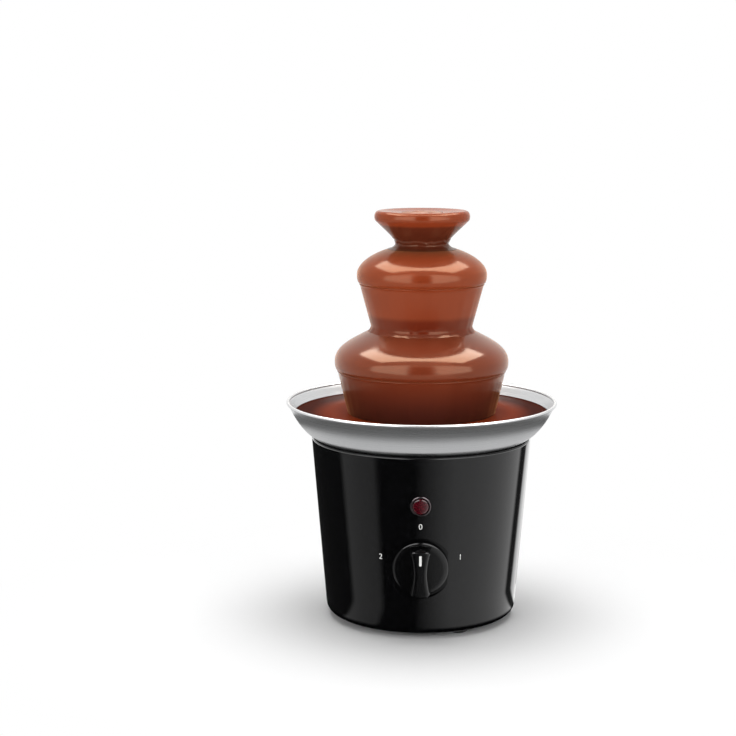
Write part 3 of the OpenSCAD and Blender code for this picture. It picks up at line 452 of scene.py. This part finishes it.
# Moulding and tooling leave a fine grain and broad soft patches on every plain surface
VALUE = "NodeSocketFloat"
PLACE = "NodeSocketVector"
grain, grain_in, grain_out = effect_group(
    "fine_grain", [("Vector", PLACE), ("Scale", VALUE), ("Smooth", VALUE), ("Rough", VALUE)],
    [("Roughness", VALUE), ("Height", VALUE), ("Tone", VALUE)])
grain_patch = node(grain, "ShaderNodeTexNoise", Detail=3.0)
grain_fine = node(grain, "ShaderNodeTexNoise", Detail=2.0)
grain_finer = node(grain, "ShaderNodeMath", operation="MULTIPLY")
grain_finer.inputs[1].default_value = 14.0
grain_range = node(grain, "ShaderNodeMapRange", From_Min=0.3, From_Max=0.7)
grain_tone = node(grain, "ShaderNodeMapRange", From_Min=0.35, From_Max=0.65)
connect(grain,
        (grain_patch.inputs["Vector"], grain_in.outputs["Vector"]),
        (grain_patch.inputs["Scale"], grain_in.outputs["Scale"]),
        (grain_finer.inputs[0], grain_in.outputs["Scale"]),
        (grain_fine.inputs["Vector"], grain_in.outputs["Vector"]),
        (grain_fine.inputs["Scale"], grain_finer.outputs[0]),
        (grain_range.inputs["Value"], grain_patch.outputs["Fac"]),
        (grain_range.inputs["To Min"], grain_in.outputs["Smooth"]),
        (grain_range.inputs["To Max"], grain_in.outputs["Rough"]),
        (grain_tone.inputs["Value"], grain_fine.outputs["Fac"]),
        (grain_out.inputs["Roughness"], grain_range.outputs["Result"]),
        (grain_out.inputs["Height"], grain_fine.outputs["Fac"]),
        (grain_out.inputs["Tone"], grain_tone.outputs["Result"]))


def blend_of(tree, low, high, **settings):
    """A node that mixes two colours."""
    made = node(tree, "ShaderNodeMix", data_type="RGBA", **settings)
    made.inputs["A"].default_value = (*low, 1)
    made.inputs["B"].default_value = (*high, 1)
    return made


def grained(name, dark, light, smooth, rough, scale, depth, metallic=0.0):
    """A moulded or machined surface with a fine grain, in patches per metre and millimetres deep."""
    made = material(name, dark, smooth, metallic)
    tree, shader = made.node_tree, shader_of(made)
    place = node(tree, "ShaderNodeTexCoord")
    marks = node(tree, "ShaderNodeGroup", node_tree=grain)
    marks.inputs["Scale"].default_value = scale
    marks.inputs["Smooth"].default_value = smooth
    marks.inputs["Rough"].default_value = rough
    tint = blend_of(tree, dark, light)
    bump = node(tree, "ShaderNodeBump", Strength=0.35, Distance=depth * mm)
    connect(tree,
            (marks.inputs["Vector"], place.outputs["Object"]),
            (tint.inputs["Factor"], marks.outputs["Tone"]),
            (shader.inputs["Base Color"], tint.outputs["Result"]),
            (shader.inputs["Roughness"], marks.outputs["Roughness"]),
            (bump.inputs["Height"], marks.outputs["Height"]),
            (shader.inputs["Normal"], bump.outputs["Normal"]))
    return made


gloss_black = grained("gloss_black", (0.0015, 0.0015, 0.0017), (0.003, 0.003, 0.0034),
                      smooth=0.05, rough=0.10, scale=25, depth=0.004)
housing_outline = [
    (opening_r, base_low), (base_low_r, base_low),
    *((wall_r(z), z) for z in (10, 35, 65, 95, base_high)),
    (77.12, 127.5), (76.2, shoulder_high), (shoulder_r, shoulder_high), (shoulder_r, base_high),
    (flange_r, base_high), (flange_r, flange_low), (74.34, flange_low),
    (64.49, floor_high), (opening_r, floor_high)]
housing_rounding = ((1, 5.52), (7, 0.3), (8, 0.4), (9, 0.3), (14, 2.5))
housing = finish_piece("glossy_housing", lathe(housing_outline, steps=480, rounding=housing_rounding),
                       gloss_black)
knob_wall = on_wall(knob_z)
lamp_wall = on_wall(lamp_z)
inlet_wall = on_wall(inlet_z, math.pi)

# The recess stands in a pad that thickens the wall behind it
pad = finish_piece("recess_pad", rod(recess_r + recess_wall, -2 * recess_depth, 0, knob_wall), gloss_black)
inside = lathe([(0, base_low), (base_low_r - pad_inset, base_low), (base_high_r - pad_inset, base_high),
                (0, base_high)], steps=480)
combine(pad, inside, "INTERSECT")
pad_bm = bmesh.new()
pad_bm.from_mesh(pad.data)
bpy.data.objects.remove(pad)
combine(housing, pad_bm, "UNION")
for radius, low, high, place in (
        (recess_r, -recess_depth, cut_past, knob_wall), (shaft_hole_r, -cut_past, 0, knob_wall),
        (lamp_hole_r, -cut_past, cut_past, lamp_wall), (inlet_hole_r, -cut_past, cut_past, inlet_wall)):
    combine(housing, rod(radius, low, high, place), "DIFFERENCE")
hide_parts("base_housing")
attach(housing, "base")

# Dial numbers
# White pad-printed figures round the knob: 0 above it for off, 1 to its right and 2 to its left.
# The ink is a thin film that follows the curved wall.
figure_height = 5.4
film = 0.03
ink = grained("white_ink", (0.72, 0.72, 0.70), (0.84, 0.84, 0.82),
              smooth=0.4, rough=0.55, scale=400, depth=0.004)
for figure, across, up in (("0", 0, 29.5), ("1", 27.5, 7), ("2", -27.5, 7)):
    letter = bpy.data.curves.new(f"figure_{figure}", "FONT")
    letter.body = figure
    letter.size = figure_height * mm
    letter.extrude = film * mm
    letter.align_x = "CENTER"
    letter.align_y = "CENTER"
    holder = bpy.data.objects.new("letter", letter)
    scene.collection.objects.link(holder)
    flat = bpy.data.meshes.new_from_object(holder.evaluated_get(bpy.context.evaluated_depsgraph_get()))
    bpy.data.objects.remove(holder)
    figure_bm = bmesh.new()
    figure_bm.from_mesh(flat)
    bmesh.ops.triangulate(figure_bm, faces=figure_bm.faces)
    bmesh.ops.remove_doubles(figure_bm, verts=figure_bm.verts, dist=1e-6)
    for v in figure_bm.verts:
        z = knob_z + (v.co.y / mm + up) * math.cos(taper)
        r = wall_r(z) + v.co.z / mm + film
        turn = (v.co.x / mm + across) / wall_r(z)
        v.co = (r * mm * math.sin(turn), -r * mm * math.cos(turn), z * mm)
    bmesh.ops.recalc_face_normals(figure_bm, faces=figure_bm.faces)
    print_film = finish_piece(f"dial_figure_{figure}", figure_bm, ink)
    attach(print_film, "base")

# Pilot lamp
# A dark red clear lens with a moulded prism pattern inside, pushed into a bright plated bezel.
# Its tail clips into a hole in the housing.
bezel_r = 7
bezel_bore = 5.6
bezel_back = -0.4
lens_r = 5.4
lens_bore = 4.2
lens_back = -8
bezel_metal = grained("bright_bezel", (0.13, 0.11, 0.115), (0.18, 0.155, 0.16),
                      smooth=0.16, rough=0.26, scale=300, depth=0.004, metallic=1.0)
bezel = finish_piece("lamp_bezel_ring", lathe(
    [(bezel_bore, bezel_back), (bezel_bore, 1.2), (6.3, 1.5), (bezel_r, 0.9), (bezel_r, bezel_back)],
    steps=96, rounding=((1, 0.2), (2, 0.4), (3, 0.35)), place=lamp_wall), bezel_metal)
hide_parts("lamp_bezel")
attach(bezel, "base")

red_clear = material("red_lens", (0.06, 0.003, 0.006), 0.08)
red_shader = shader_of(red_clear)
red_shader.inputs["Coat Weight"].default_value = 0.6
red_shader.inputs["Coat Roughness"].default_value = 0.04
red_tree = red_clear.node_tree
red_place = node(red_tree, "ShaderNodeTexCoord")
red_prisms = node(red_tree, "ShaderNodeTexVoronoi", Scale=900.0)
red_tint = blend_of(red_tree, (0.085, 0.004, 0.009), (0.022, 0.001, 0.003))
red_bump = node(red_tree, "ShaderNodeBump", Strength=0.25, Distance=0.1 * mm)
connect(red_tree,
        (red_prisms.inputs["Vector"], red_place.outputs["Object"]),
        (red_tint.inputs["Factor"], red_prisms.outputs["Distance"]),
        (red_shader.inputs["Base Color"], red_tint.outputs["Result"]),
        (red_bump.inputs["Height"], red_prisms.outputs["Distance"]),
        (red_shader.inputs["Normal"], red_bump.outputs["Normal"]))


def bezier(a, b, c, d, count):
    """Points of (radius, height) on a curve from a to d with handles b and c."""
    points = interpolate_bezier(*(Vector((*p, 0)) for p in (a, b, c, d)), count)
    return [(p.x, p.y) for p in points]


lens_dome = bezier((0, 2.9), (3, 2.9), (lens_r, 2.4), (lens_r, 0.9), 12)
lens_tail = [(lens_r, lens_back), (lens_bore, lens_back), (lens_bore, -1), (0, -0.6)]
lens = finish_piece("red_lens", lathe(lens_dome + lens_tail, steps=96, closed=False, place=lamp_wall),
                    red_clear)
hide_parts("lamp_lens")
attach(lens, "base")

# Control knob
# A gloss black moulding in one piece: a round skirt with a rolled edge, and a waisted grip that
# runs across it. The pointer on the grip is a white filled groove.
knob_back = -1.7
hollow_r = 15
hollow_depth = 2.5
skirt_r = 19
skirt_top = 2.8
grip_width = 14
grip_length = 34.5
grip_top = 13.7
grip_sunk = 1
grip_round = 2.6
knob_black = grained("knob_black", (0.002, 0.002, 0.0022), (0.004, 0.004, 0.0044),
                     smooth=0.09, rough=0.15, scale=60, depth=0.004)
skirt_outline = [(0, knob_back + hollow_depth), (hollow_r, knob_back + hollow_depth), (hollow_r, knob_back),
                 (skirt_r, knob_back), (skirt_r, skirt_top - 2), (16.4, skirt_top), (0, skirt_top)]
skirt = finish_piece("knob_skirt", lathe(
    skirt_outline, steps=128, closed=False, rounding=((3, 0.3), (4, 1.2), (5, 1.6)), place=knob_wall),
    knob_black)
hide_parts("knob")
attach(skirt, "knob")


def divide(bm, axis, longer_than, cuts):
    """Cuts the edges along an axis that are longer than a length in millimetres."""
    edges = [e for e in bm.edges if abs(e.verts[0].co[axis] - e.verts[1].co[axis]) > longer_than * mm]
    bmesh.ops.subdivide_edges(bm, edges=edges, cuts=cuts, use_grid_fill=True)


grip_bm = bmesh.new()
bmesh.ops.create_cube(grip_bm, size=1)
bmesh.ops.scale(grip_bm, vec=(grip_width * mm, grip_length * mm, (grip_top - skirt_top + grip_sunk) * mm),
                verts=grip_bm.verts)
bmesh.ops.translate(grip_bm, vec=(0, 0, (grip_top + skirt_top - grip_sunk) / 2 * mm), verts=grip_bm.verts)
divide(grip_bm, axis=1, longer_than=20, cuts=9)
divide(grip_bm, axis=0, longer_than=10, cuts=3)
divide(grip_bm, axis=2, longer_than=8, cuts=3)
for v in grip_bm.verts:
    # Waisted in the middle, with bowed ends, and drawn in a little towards the top
    along = v.co.y / (grip_length / 2 * mm)
    v.co.x *= 0.68 + 0.32 * abs(along) ** 1.6
    v.co.y *= 1 - 0.055 * (v.co.x / (grip_width / 2 * mm)) ** 2
    rise = max((v.co.z / mm - skirt_top) / (grip_top - skirt_top), 0)
    v.co.x *= 1.08 - 0.14 * rise
    v.co.y *= 1.0 - 0.05 * rise ** 2
rim_edges = [e for e in grip_bm.edges
             if len(e.link_faces) == 2 and e.calc_face_angle() > math.radians(50)
             and min(v.co.z for v in e.verts) > skirt_top * mm - 0.5 * mm]
bmesh.ops.bevel(grip_bm, geom=rim_edges, offset=grip_round * mm, affect="EDGES", segments=4, profile=0.5,
                material=-1)
bmesh.ops.recalc_face_normals(grip_bm, faces=grip_bm.faces)
bmesh.ops.transform(grip_bm, matrix=knob_wall, verts=grip_bm.verts)
grip = finish_piece("knob_grip", grip_bm, knob_black, sharp_angle=60)
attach(grip, "knob")

# Steel bowl
# Spun from thin stainless sheet with a rolled rim. It is brushed on the lathe, so fine rings run
# round it, and it stands on a black gasket on the base.
bowl_bore = 8.1
bowl_low = 128
bowl_floor = 129
bowl_floor_r = 70
bead_r = 93.9
bead_z = 152.9
bead = 1.1
rings, rings_in, rings_out = effect_group(
    "turned_rings", [("Vector", PLACE), ("Scale", VALUE)], [("Ring", VALUE), ("Shade", VALUE)])
rings_parts = node(rings, "ShaderNodeSeparateXYZ")
rings_place = node(rings, "ShaderNodeCombineXYZ")
rings_fine = node(rings, "ShaderNodeTexNoise", Detail=3.0)
rings_patch = node(rings, "ShaderNodeTexNoise", Scale=18.0, Detail=2.0)
connect(rings,
        (rings_parts.inputs[0], rings_in.outputs["Vector"]),
        (rings_place.inputs["X"], length_of(rings, rings_in.outputs["Vector"], (1, 1, 0))),
        (rings_place.inputs["Z"], rings_parts.outputs["Z"]),
        (rings_fine.inputs["Vector"], rings_place.outputs[0]),
        (rings_fine.inputs["Scale"], rings_in.outputs["Scale"]),
        (rings_patch.inputs["Vector"], rings_in.outputs["Vector"]),
        (rings_out.inputs["Ring"], rings_fine.outputs["Fac"]),
        (rings_out.inputs["Shade"], rings_patch.outputs["Fac"]))

steel = material("satin_steel", (0.60, 0.61, 0.62), 0.28, 1.0)
steel_shader = shader_of(steel)
steel_tree = steel.node_tree
steel_place = node(steel_tree, "ShaderNodeTexCoord")
steel_rings = node(steel_tree, "ShaderNodeGroup", node_tree=rings)
steel_rings.inputs["Scale"].default_value = 2200.0
steel_rough = node(steel_tree, "ShaderNodeMapRange", To_Min=0.22, To_Max=0.36)
steel_tint = blend_of(steel_tree, (0.56, 0.57, 0.58), (0.70, 0.705, 0.71))
steel_bump = node(steel_tree, "ShaderNodeBump", Strength=0.12, Distance=0.05 * mm)
connect(steel_tree,
        (steel_rings.inputs["Vector"], steel_place.outputs["Object"]),
        (steel_rough.inputs["Value"], steel_rings.outputs["Ring"]),
        (steel_tint.inputs["Factor"], steel_rings.outputs["Shade"]),
        (steel_shader.inputs["Base Color"], steel_tint.outputs["Result"]),
        (steel_shader.inputs["Roughness"], steel_rough.outputs["Result"]),
        (steel_bump.inputs["Height"], steel_rings.outputs["Ring"]),
        (steel_shader.inputs["Normal"], steel_bump.outputs["Normal"]))

bowl_under = bezier((bowl_floor_r, bowl_low), (80.04, bowl_low), (88.88, 140.95), (93.6, 151.9), 20)
bowl_bead = [(bead_r + bead * math.cos(math.radians(a)), bead_z + bead * math.sin(math.radians(a)))
             for a in range(-60, 211, 15)]
bowl_inside = bezier((92.5, 151.7), (87.9, 141.4), (79.6, bowl_floor), (bowl_floor_r, bowl_floor), 20)
bowl = finish_piece("spun_bowl", lathe(
    [(bowl_bore, bowl_low)] + bowl_under + bowl_bead + bowl_inside + [(bowl_bore, bowl_floor)], steps=320),
    steel, sharp_angle=50)
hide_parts("bowl")
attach(bowl, "base")

# Chocolate in the bowl
# Milk chocolate at about forty degrees is thick and glossy, and lies in the bowl as a still pool
# with faint rings round the place where the lower curtain lands. Its colour is painted darker
# towards its edge, as painted shade and a painted dark reflection.
pool_low = 129.3
pool_level = 145.5
pool_hole_r = 26.4
ripple_fade = 60
ripple_end = 86
MILK = (0.225, 0.034, 0.010)
MILK_PALE = (0.285, 0.046, 0.014)


def chocolate_finish(name, ior, gloss, sheen, measure, shade, painted_shade_tint):
    """Glossy chocolate with soft swirls, and a painted shade: its colour is multiplied by the tint
    along the shade's (from, to, low, high), measured by height Z or by radius R in millimetres."""
    made = material(name, MILK, 0.14)
    tree, shader = made.node_tree, shader_of(made)
    shader.inputs["IOR"].default_value = ior
    shader.inputs["Specular Tint"].default_value = (gloss, 0.70 * gloss, 0.48 * gloss, 1)
    shader.inputs["Sheen Weight"].default_value = sheen
    shader.inputs["Sheen Roughness"].default_value = 0.35
    shader.inputs["Sheen Tint"].default_value = (1.0, 0.52, 0.22, 1)
    place = node(tree, "ShaderNodeTexCoord").outputs["Object"]
    stretch = node(tree, "ShaderNodeMapping", Scale=(1, 1, 0.35))
    swirls = node(tree, "ShaderNodeTexNoise", Scale=28.0, Detail=3.0, Distortion=0.6)
    tint = blend_of(tree, MILK, MILK_PALE)
    start_at, end_at, low, high = shade
    # Painted shade: depth is the mask and deep the darker tint where the chocolate lies in shade
    depth = node(tree, "ShaderNodeMapRange", interpolation_type="SMOOTHSTEP", From_Min=start_at * mm,
                 From_Max=end_at * mm, To_Min=low, To_Max=high)
    deep = blend_of(tree, MILK, painted_shade_tint, blend_type="MULTIPLY")
    rough = node(tree, "ShaderNodeMapRange", From_Min=0.3, From_Max=0.7, To_Min=0.10, To_Max=0.20)
    connect(tree,
            (stretch.inputs["Vector"], place),
            (swirls.inputs["Vector"], stretch.outputs["Vector"]),
            (tint.inputs["Factor"], swirls.outputs["Fac"]),
            (depth.inputs["Value"], length_of(tree, place, (1, 1, 0) if measure == "R" else (0, 0, 1))),
            (deep.inputs["Factor"], depth.outputs["Result"]),
            (deep.inputs["A"], tint.outputs["Result"]),
            (rough.inputs["Value"], swirls.outputs["Fac"]),
            (shader.inputs["Base Color"], deep.outputs["Result"]),
            (shader.inputs["Roughness"], rough.outputs["Result"]))
    return made


def folds(turn, z, count, climb, seed):
    """A soft fold pattern round the axis that closes on itself; climb is folds per metre of z."""
    return noise.noise(Vector((math.cos(turn) * count, math.sin(turn) * count, z * mm * climb + seed)))


def fade(value, low, high):
    """Rises smoothly from 0 at low to 1 at high."""
    t = min(max((value - low) / (high - low), 0), 1)
    return t * t * (3 - 2 * t)


def push_up(bm, above, amount):
    """Raises each point above a height by amount(turn, radius), in millimetres."""
    for v in bm.verts:
        if v.co.z > above * mm:
            r = math.hypot(v.co.x, v.co.y) / mm
            v.co.z += amount(math.atan2(v.co.y, v.co.x), r) * mm


def pool_ripples(turn, r):
    """Rings that die away outwards, over a slight unevenness; the edge stays as it is."""
    if r >= ripple_end:
        return 0
    bend = 1.5 * folds(turn, 0, count=1.2, climb=0, seed=4)
    uneven = 0.06 * folds(turn, r, count=2.5, climb=40, seed=9)
    return 0.05 * math.sin(r * 0.4 + bend) * (1 - fade(r, ripple_fade, ripple_end)) + uneven - 0.06


# Painted shade and reflection: darker from 62 mm out to 80 mm from the axis
pool_chocolate = chocolate_finish("pool_chocolate", ior=1.014, gloss=1.0, sheen=0.0,
                                  measure="R", shade=(62, 80, 0, 1), painted_shade_tint=(0.22, 0.28, 0.5))
pool_edge = bezier((70, pool_low), (79.5, pool_low), (87.4, 141), (88.1, 143.6), 10)
pool_rise = bezier((88.9, 146.1), (88.2, pool_level), (87, pool_level), (84, pool_level), 8)
pool_top = [(r, pool_level) for r in range(82, 27, -2)]
pool_bm = lathe([(pool_hole_r, pool_low)] + pool_edge + pool_rise + pool_top + [(pool_hole_r, pool_level)],
                steps=192)
push_up(pool_bm, pool_level - 0.5, pool_ripples)
pool = finish_piece("chocolate_in_bowl", pool_bm, pool_chocolate)
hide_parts("chocolate_pool")
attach(pool, "base")

# Lower curtain
# The same chocolate covers the lower dome, hangs over its rim as a thick lip and falls into the
# bowl as a curtain with long soft folds. Its colour is painted darker towards the pool, a painted
# shade under the dome.
lower_rim_r = 60.9
lower_dome_r = 59.4
lower_top = 206.0
lower_skin = 204.6
lower_bore = 17.3


def push_out(bm, amount):
    """Moves each point away from the axis by amount(turn, radius, height), in millimetres."""
    for v in bm.verts:
        r = math.hypot(v.co.x, v.co.y)
        if r > 0.1 * mm:
            turn = math.atan2(v.co.y, v.co.x)
            v.co.xy *= 1 + amount(turn, r / mm, v.co.z / mm) * mm / r


def straight(a, b, steps):
    """Points of (radius, height) on a line from a to b."""
    return [(a[0] + (b[0] - a[0]) * t / steps, a[1] + (b[1] - a[1]) * t / steps) for t in range(steps + 1)]


def lower_folds(turn, r, z):
    """Folds in the curtain that are calm at the lip and at the foot, over an almost even dome."""
    if r <= 30:
        return 0
    curtain = (0.42 * folds(turn, z, count=3.2, climb=9, seed=1)
               + 0.2 * folds(turn, z, count=11, climb=14, seed=2))
    dome = 0.15 * folds(turn, z, count=2.2, climb=20, seed=3)
    return (curtain * (1 - fade(z, 168, 175)) * (0.5 + 0.5 * fade(z, 145, 150))
            + dome * fade(z, 175, 182))


# Painted shade: the tint is full at the pool and partly mixed in over the dome
curtain_chocolate = chocolate_finish("shaded_chocolate", ior=1.36, gloss=1.7, sheen=0.45,
                                     measure="Z", shade=(148, 180, 1, 0.35), painted_shade_tint=(0.28, 0.46, 1.0))
lower_dome = bezier((32, 206.1), (43.9, 198.3), (lower_rim_r, 193.9), (lower_rim_r, 181.9), 30)
lower_lip = (bezier((lower_rim_r, 181.2), (lower_rim_r, 178.6), (60.3, 176.0), (58.8, 175.8), 9)
             + bezier((58.9, 175.6), (59.4, 175.6), (59.4, 174.9), (58.7, 174.5), 5))
lower_fall = straight((58.5, 173.9), (52.0, 145.7), 20)
lower_back = [(50, 145.8), (56.6, 175.4), (57.2, 181.5), (lower_dome_r, 181.5)]
lower_under = bezier((lower_dome_r, 182.2), (lower_dome_r, 193.2), (43.3, 197.3), (32, lower_skin), 12)
lower_bm = lathe([(lower_bore, lower_top)] + lower_dome + lower_lip + lower_fall + lower_back + lower_under
                 + [(lower_bore, lower_skin)], steps=288)
push_out(lower_bm, lower_folds)
lower_flow = finish_piece("lower_curtain", lower_bm, curtain_chocolate, sharp_angle=60)
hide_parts("chocolate_lower_flow")
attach(lower_flow, "tower")

# Upper curtain
# The same flow on the upper dome: a skin, a lip and a curtain that narrows as it falls and spreads
# in a small foot where it lands on the lower dome.
upper_rim_r = 45.3
upper_dome_r = 43.8
upper_bore = 16.8


def upper_folds(turn, r, z):
    """Folds in the curtain, a rougher foot where it lands, and an almost even dome."""
    if r <= 22:
        return 0
    curtain = (0.34 * folds(turn, z, count=3.0, climb=9, seed=5)
               + 0.16 * folds(turn, z, count=9, climb=14, seed=6))
    foot = 0.5 * folds(turn, z, count=6, climb=60, seed=7)
    dome = 0.12 * folds(turn, z, count=2.2, climb=20, seed=8)
    return curtain * (1 - fade(z, 229, 236)) + foot * (1 - fade(z, 205, 209)) + dome * fade(z, 236, 243)


# Painted shade: a darker band at the curtain's foot, below 217 mm
chocolate = chocolate_finish("melted_chocolate", ior=1.16, gloss=6.4, sheen=0.6,
                             measure="Z", shade=(212.5, 217, 1, 0), painted_shade_tint=(0.6, 0.4, 0.33))
upper_dome = bezier((19, 261.5), (29.8, 259.6), (upper_rim_r, 252), (upper_rim_r, 242.7), 30)
upper_lip = (bezier((upper_rim_r, 242), (upper_rim_r, 239.4), (44.7, 236.8), (43.2, 236.6), 9)
             + bezier((43.3, 236.4), (43.8, 236.4), (43.8, 235.7), (43.1, 235.3), 5))
upper_fall = straight((42.9, 234.7), (35.6, 207.3), 18)
upper_foot = bezier((35.5, 206.6), (35.7, 205.0), (36.6, 204.0), (38, 202.2), 7)
upper_back = [(33, 203.6), (33.4, 207), (41, 236.2), (41.6, 242.3), (upper_dome_r, 242.3)]
upper_under = bezier((upper_dome_r, 243), (upper_dome_r, 251.2), (29.2, 258.2), (19, 260), 12)
upper_bm = lathe([(upper_bore, 261.4)] + upper_dome + upper_lip + upper_fall + upper_foot + upper_back
                 + upper_under + [(upper_bore, 260)], steps=240)
push_out(upper_bm, upper_folds)
upper_flow = finish_piece("upper_curtain", upper_bm, chocolate, sharp_angle=60)
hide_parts("chocolate_upper_flow")
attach(upper_flow, "tower")

# Chocolate on the crown
# It wells up in the cup, rolls over its edge as a thick rounded lip, clings to the flared side and
# piles up in rings on the neck. The swirl in the middle stands on the screw and turns with it.
crown_bore = 14.4
crown_top = 287
crown_edge_r = 31
swirl_r = 13.9
swirl_low = 282
swirl_edge = 285.5


def neck_folds(turn, r, z):
    """Rings that pile up where the chocolate slides off the crown, over a calmer flared side."""
    if r <= max(18, 18 + (z - 267) * 0.75):
        return 0
    wave = (1.6 * folds(turn, z, count=1.3, climb=30, seed=11)
            + 0.9 * folds(turn, z, count=4, climb=40, seed=12))
    piled = (0.24 * math.sin((z - 261) * 1.7 + 2.6 * wave)
             + 0.2 * folds(turn, z, count=3, climb=120, seed=13))
    flare = 0.18 * folds(turn, z, count=2, climb=30, seed=14)
    return piled * fade(z, 261.3, 262.5) * (1 - fade(z, 267, 270)) + flare * fade(z, 267, 273)


def swirl_arms(turn, r):
    """Two spiral arms that fade out at the middle and at the edge."""
    return 0.28 * math.sin(2 * turn + r * 0.5) * fade(r, 0, 4) * (1 - fade(r, 11, swirl_r))


# Painted shade: the flared side and neck are darker below 276 mm, as if under the lip
crown_chocolate = chocolate_finish("crown_chocolate", ior=1.14, gloss=8.0, sheen=0.2,
                                   measure="Z", shade=(276.2, 278.6, 1, 0), painted_shade_tint=(0.46, 0.56, 0.8))
crown_neck = bezier((24, 260.5), (20.8, 261.3), (18.9, 262.2), (18.6, 264), 12)
crown_side = bezier((18.65, 264.6), (19.1, 268.2), (25.6, 273.2), (32.2, 279.8), 32)
crown_lip = bezier((32.5, 280.1), (33.8, 281.8), (33.7, crown_top), (29.6, crown_top), 14)
crown_well = bezier((28.5, 286.9), (24, 286.4), (20, 285.8), (crown_bore, 285.7), 8)
crown_cup = [(crown_bore, 269.4), (28.6, 284.2), (crown_edge_r, 284.2)]
crown_under = bezier((crown_edge_r, 283.6), (24.4, 275.3), (17.7, 269.2), (17.3, 261.9), 14)
crown_bm = lathe(crown_neck + crown_side + crown_lip + crown_well + crown_cup + crown_under, steps=240)
push_out(crown_bm, neck_folds)
crown_flow = finish_piece("crown_overflow", crown_bm, crown_chocolate, sharp_angle=60)
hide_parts("chocolate_crown")
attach(crown_flow, "tower")

swirl_side = [(0, swirl_low), (swirl_r, swirl_low), (swirl_r, swirl_edge)]
swirl_top = [(r / 2, 286.6 - 0.9 * (r / 27) ** 2) for r in range(27, -1, -1)]
swirl_bm = lathe(swirl_side + swirl_top, steps=120, closed=False)
push_up(swirl_bm, swirl_edge - 0.5, swirl_arms)
swirl = finish_piece("rising_swirl", swirl_bm, chocolate)
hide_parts("chocolate_swirl")
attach(swirl, "auger")

# Plain machine parts
# The feet, cover, fasteners, drive, heater and tower keep their exact solids. Each takes the finish
# of its material: rubber, moulded plastic, plated steel, brass, copper wire or aluminium.

# Slot: finish, dark and light colour, smooth and rough, patches per metre, depth in mm, metal
PLAIN_FINISHES = {
    "black_matte": ("matte_black", (0.012, 0.012, 0.013), (0.022, 0.022, 0.024), 0.5, 0.65, 120, 0.05),
    "black_rubber": ("soft_rubber", (0.010, 0.010, 0.010), (0.02, 0.02, 0.02), 0.7, 0.9, 200, 0.08),
    "zinc": ("zinc_plate", (0.48, 0.49, 0.50), (0.62, 0.62, 0.61), 0.28, 0.45, 220, 0.01, 1.0),
    "plate_steel": ("sleeve_steel", (0.36, 0.37, 0.39), (0.46, 0.47, 0.49), 0.35, 0.5, 90, 0.01, 1.0),
    "neon_glass": ("neon_glass", (0.75, 0.28, 0.10), (0.9, 0.42, 0.18), 0.05, 0.12, 200, 0.005),
    "switch_resin": ("switch_resin", (0.22, 0.18, 0.13), (0.32, 0.27, 0.2), 0.45, 0.6, 200, 0.03),
    "copper_winding": ("copper_wire", (0.55, 0.22, 0.08), (0.72, 0.34, 0.15), 0.25, 0.4, 600, 0.1, 1.0),
    "white_nylon": ("white_nylon", (0.72, 0.72, 0.69), (0.82, 0.82, 0.79), 0.35, 0.5, 150, 0.02),
    "brass_small": ("turned_brass", (0.62, 0.42, 0.14), (0.75, 0.55, 0.24), 0.2, 0.35, 250, 0.01, 1.0),
    "heater_aluminium": ("plain_aluminium", (0.66, 0.66, 0.67), (0.76, 0.76, 0.77),
                         0.3, 0.45, 120, 0.02, 1.0),
    "cream_plastic": ("cream_plastic", (0.74, 0.68, 0.56), (0.82, 0.77, 0.66), 0.3, 0.45, 60, 0.02),
}
finishes = {slot: grained(*finish) for slot, finish in PLAIN_FINISHES.items()}
finishes.update(black_gloss=gloss_black, steel_bowl=steel, bright_ring=bezel_metal, red_lens=red_clear,
                white_mark=ink, chocolate=chocolate)
for part in frame["record"]["subparts"]:
    solid = frame["nodes"][part["node"]]
    solid.data.materials.clear()
    solid.data.materials.append(finishes[part["material_slot"]])
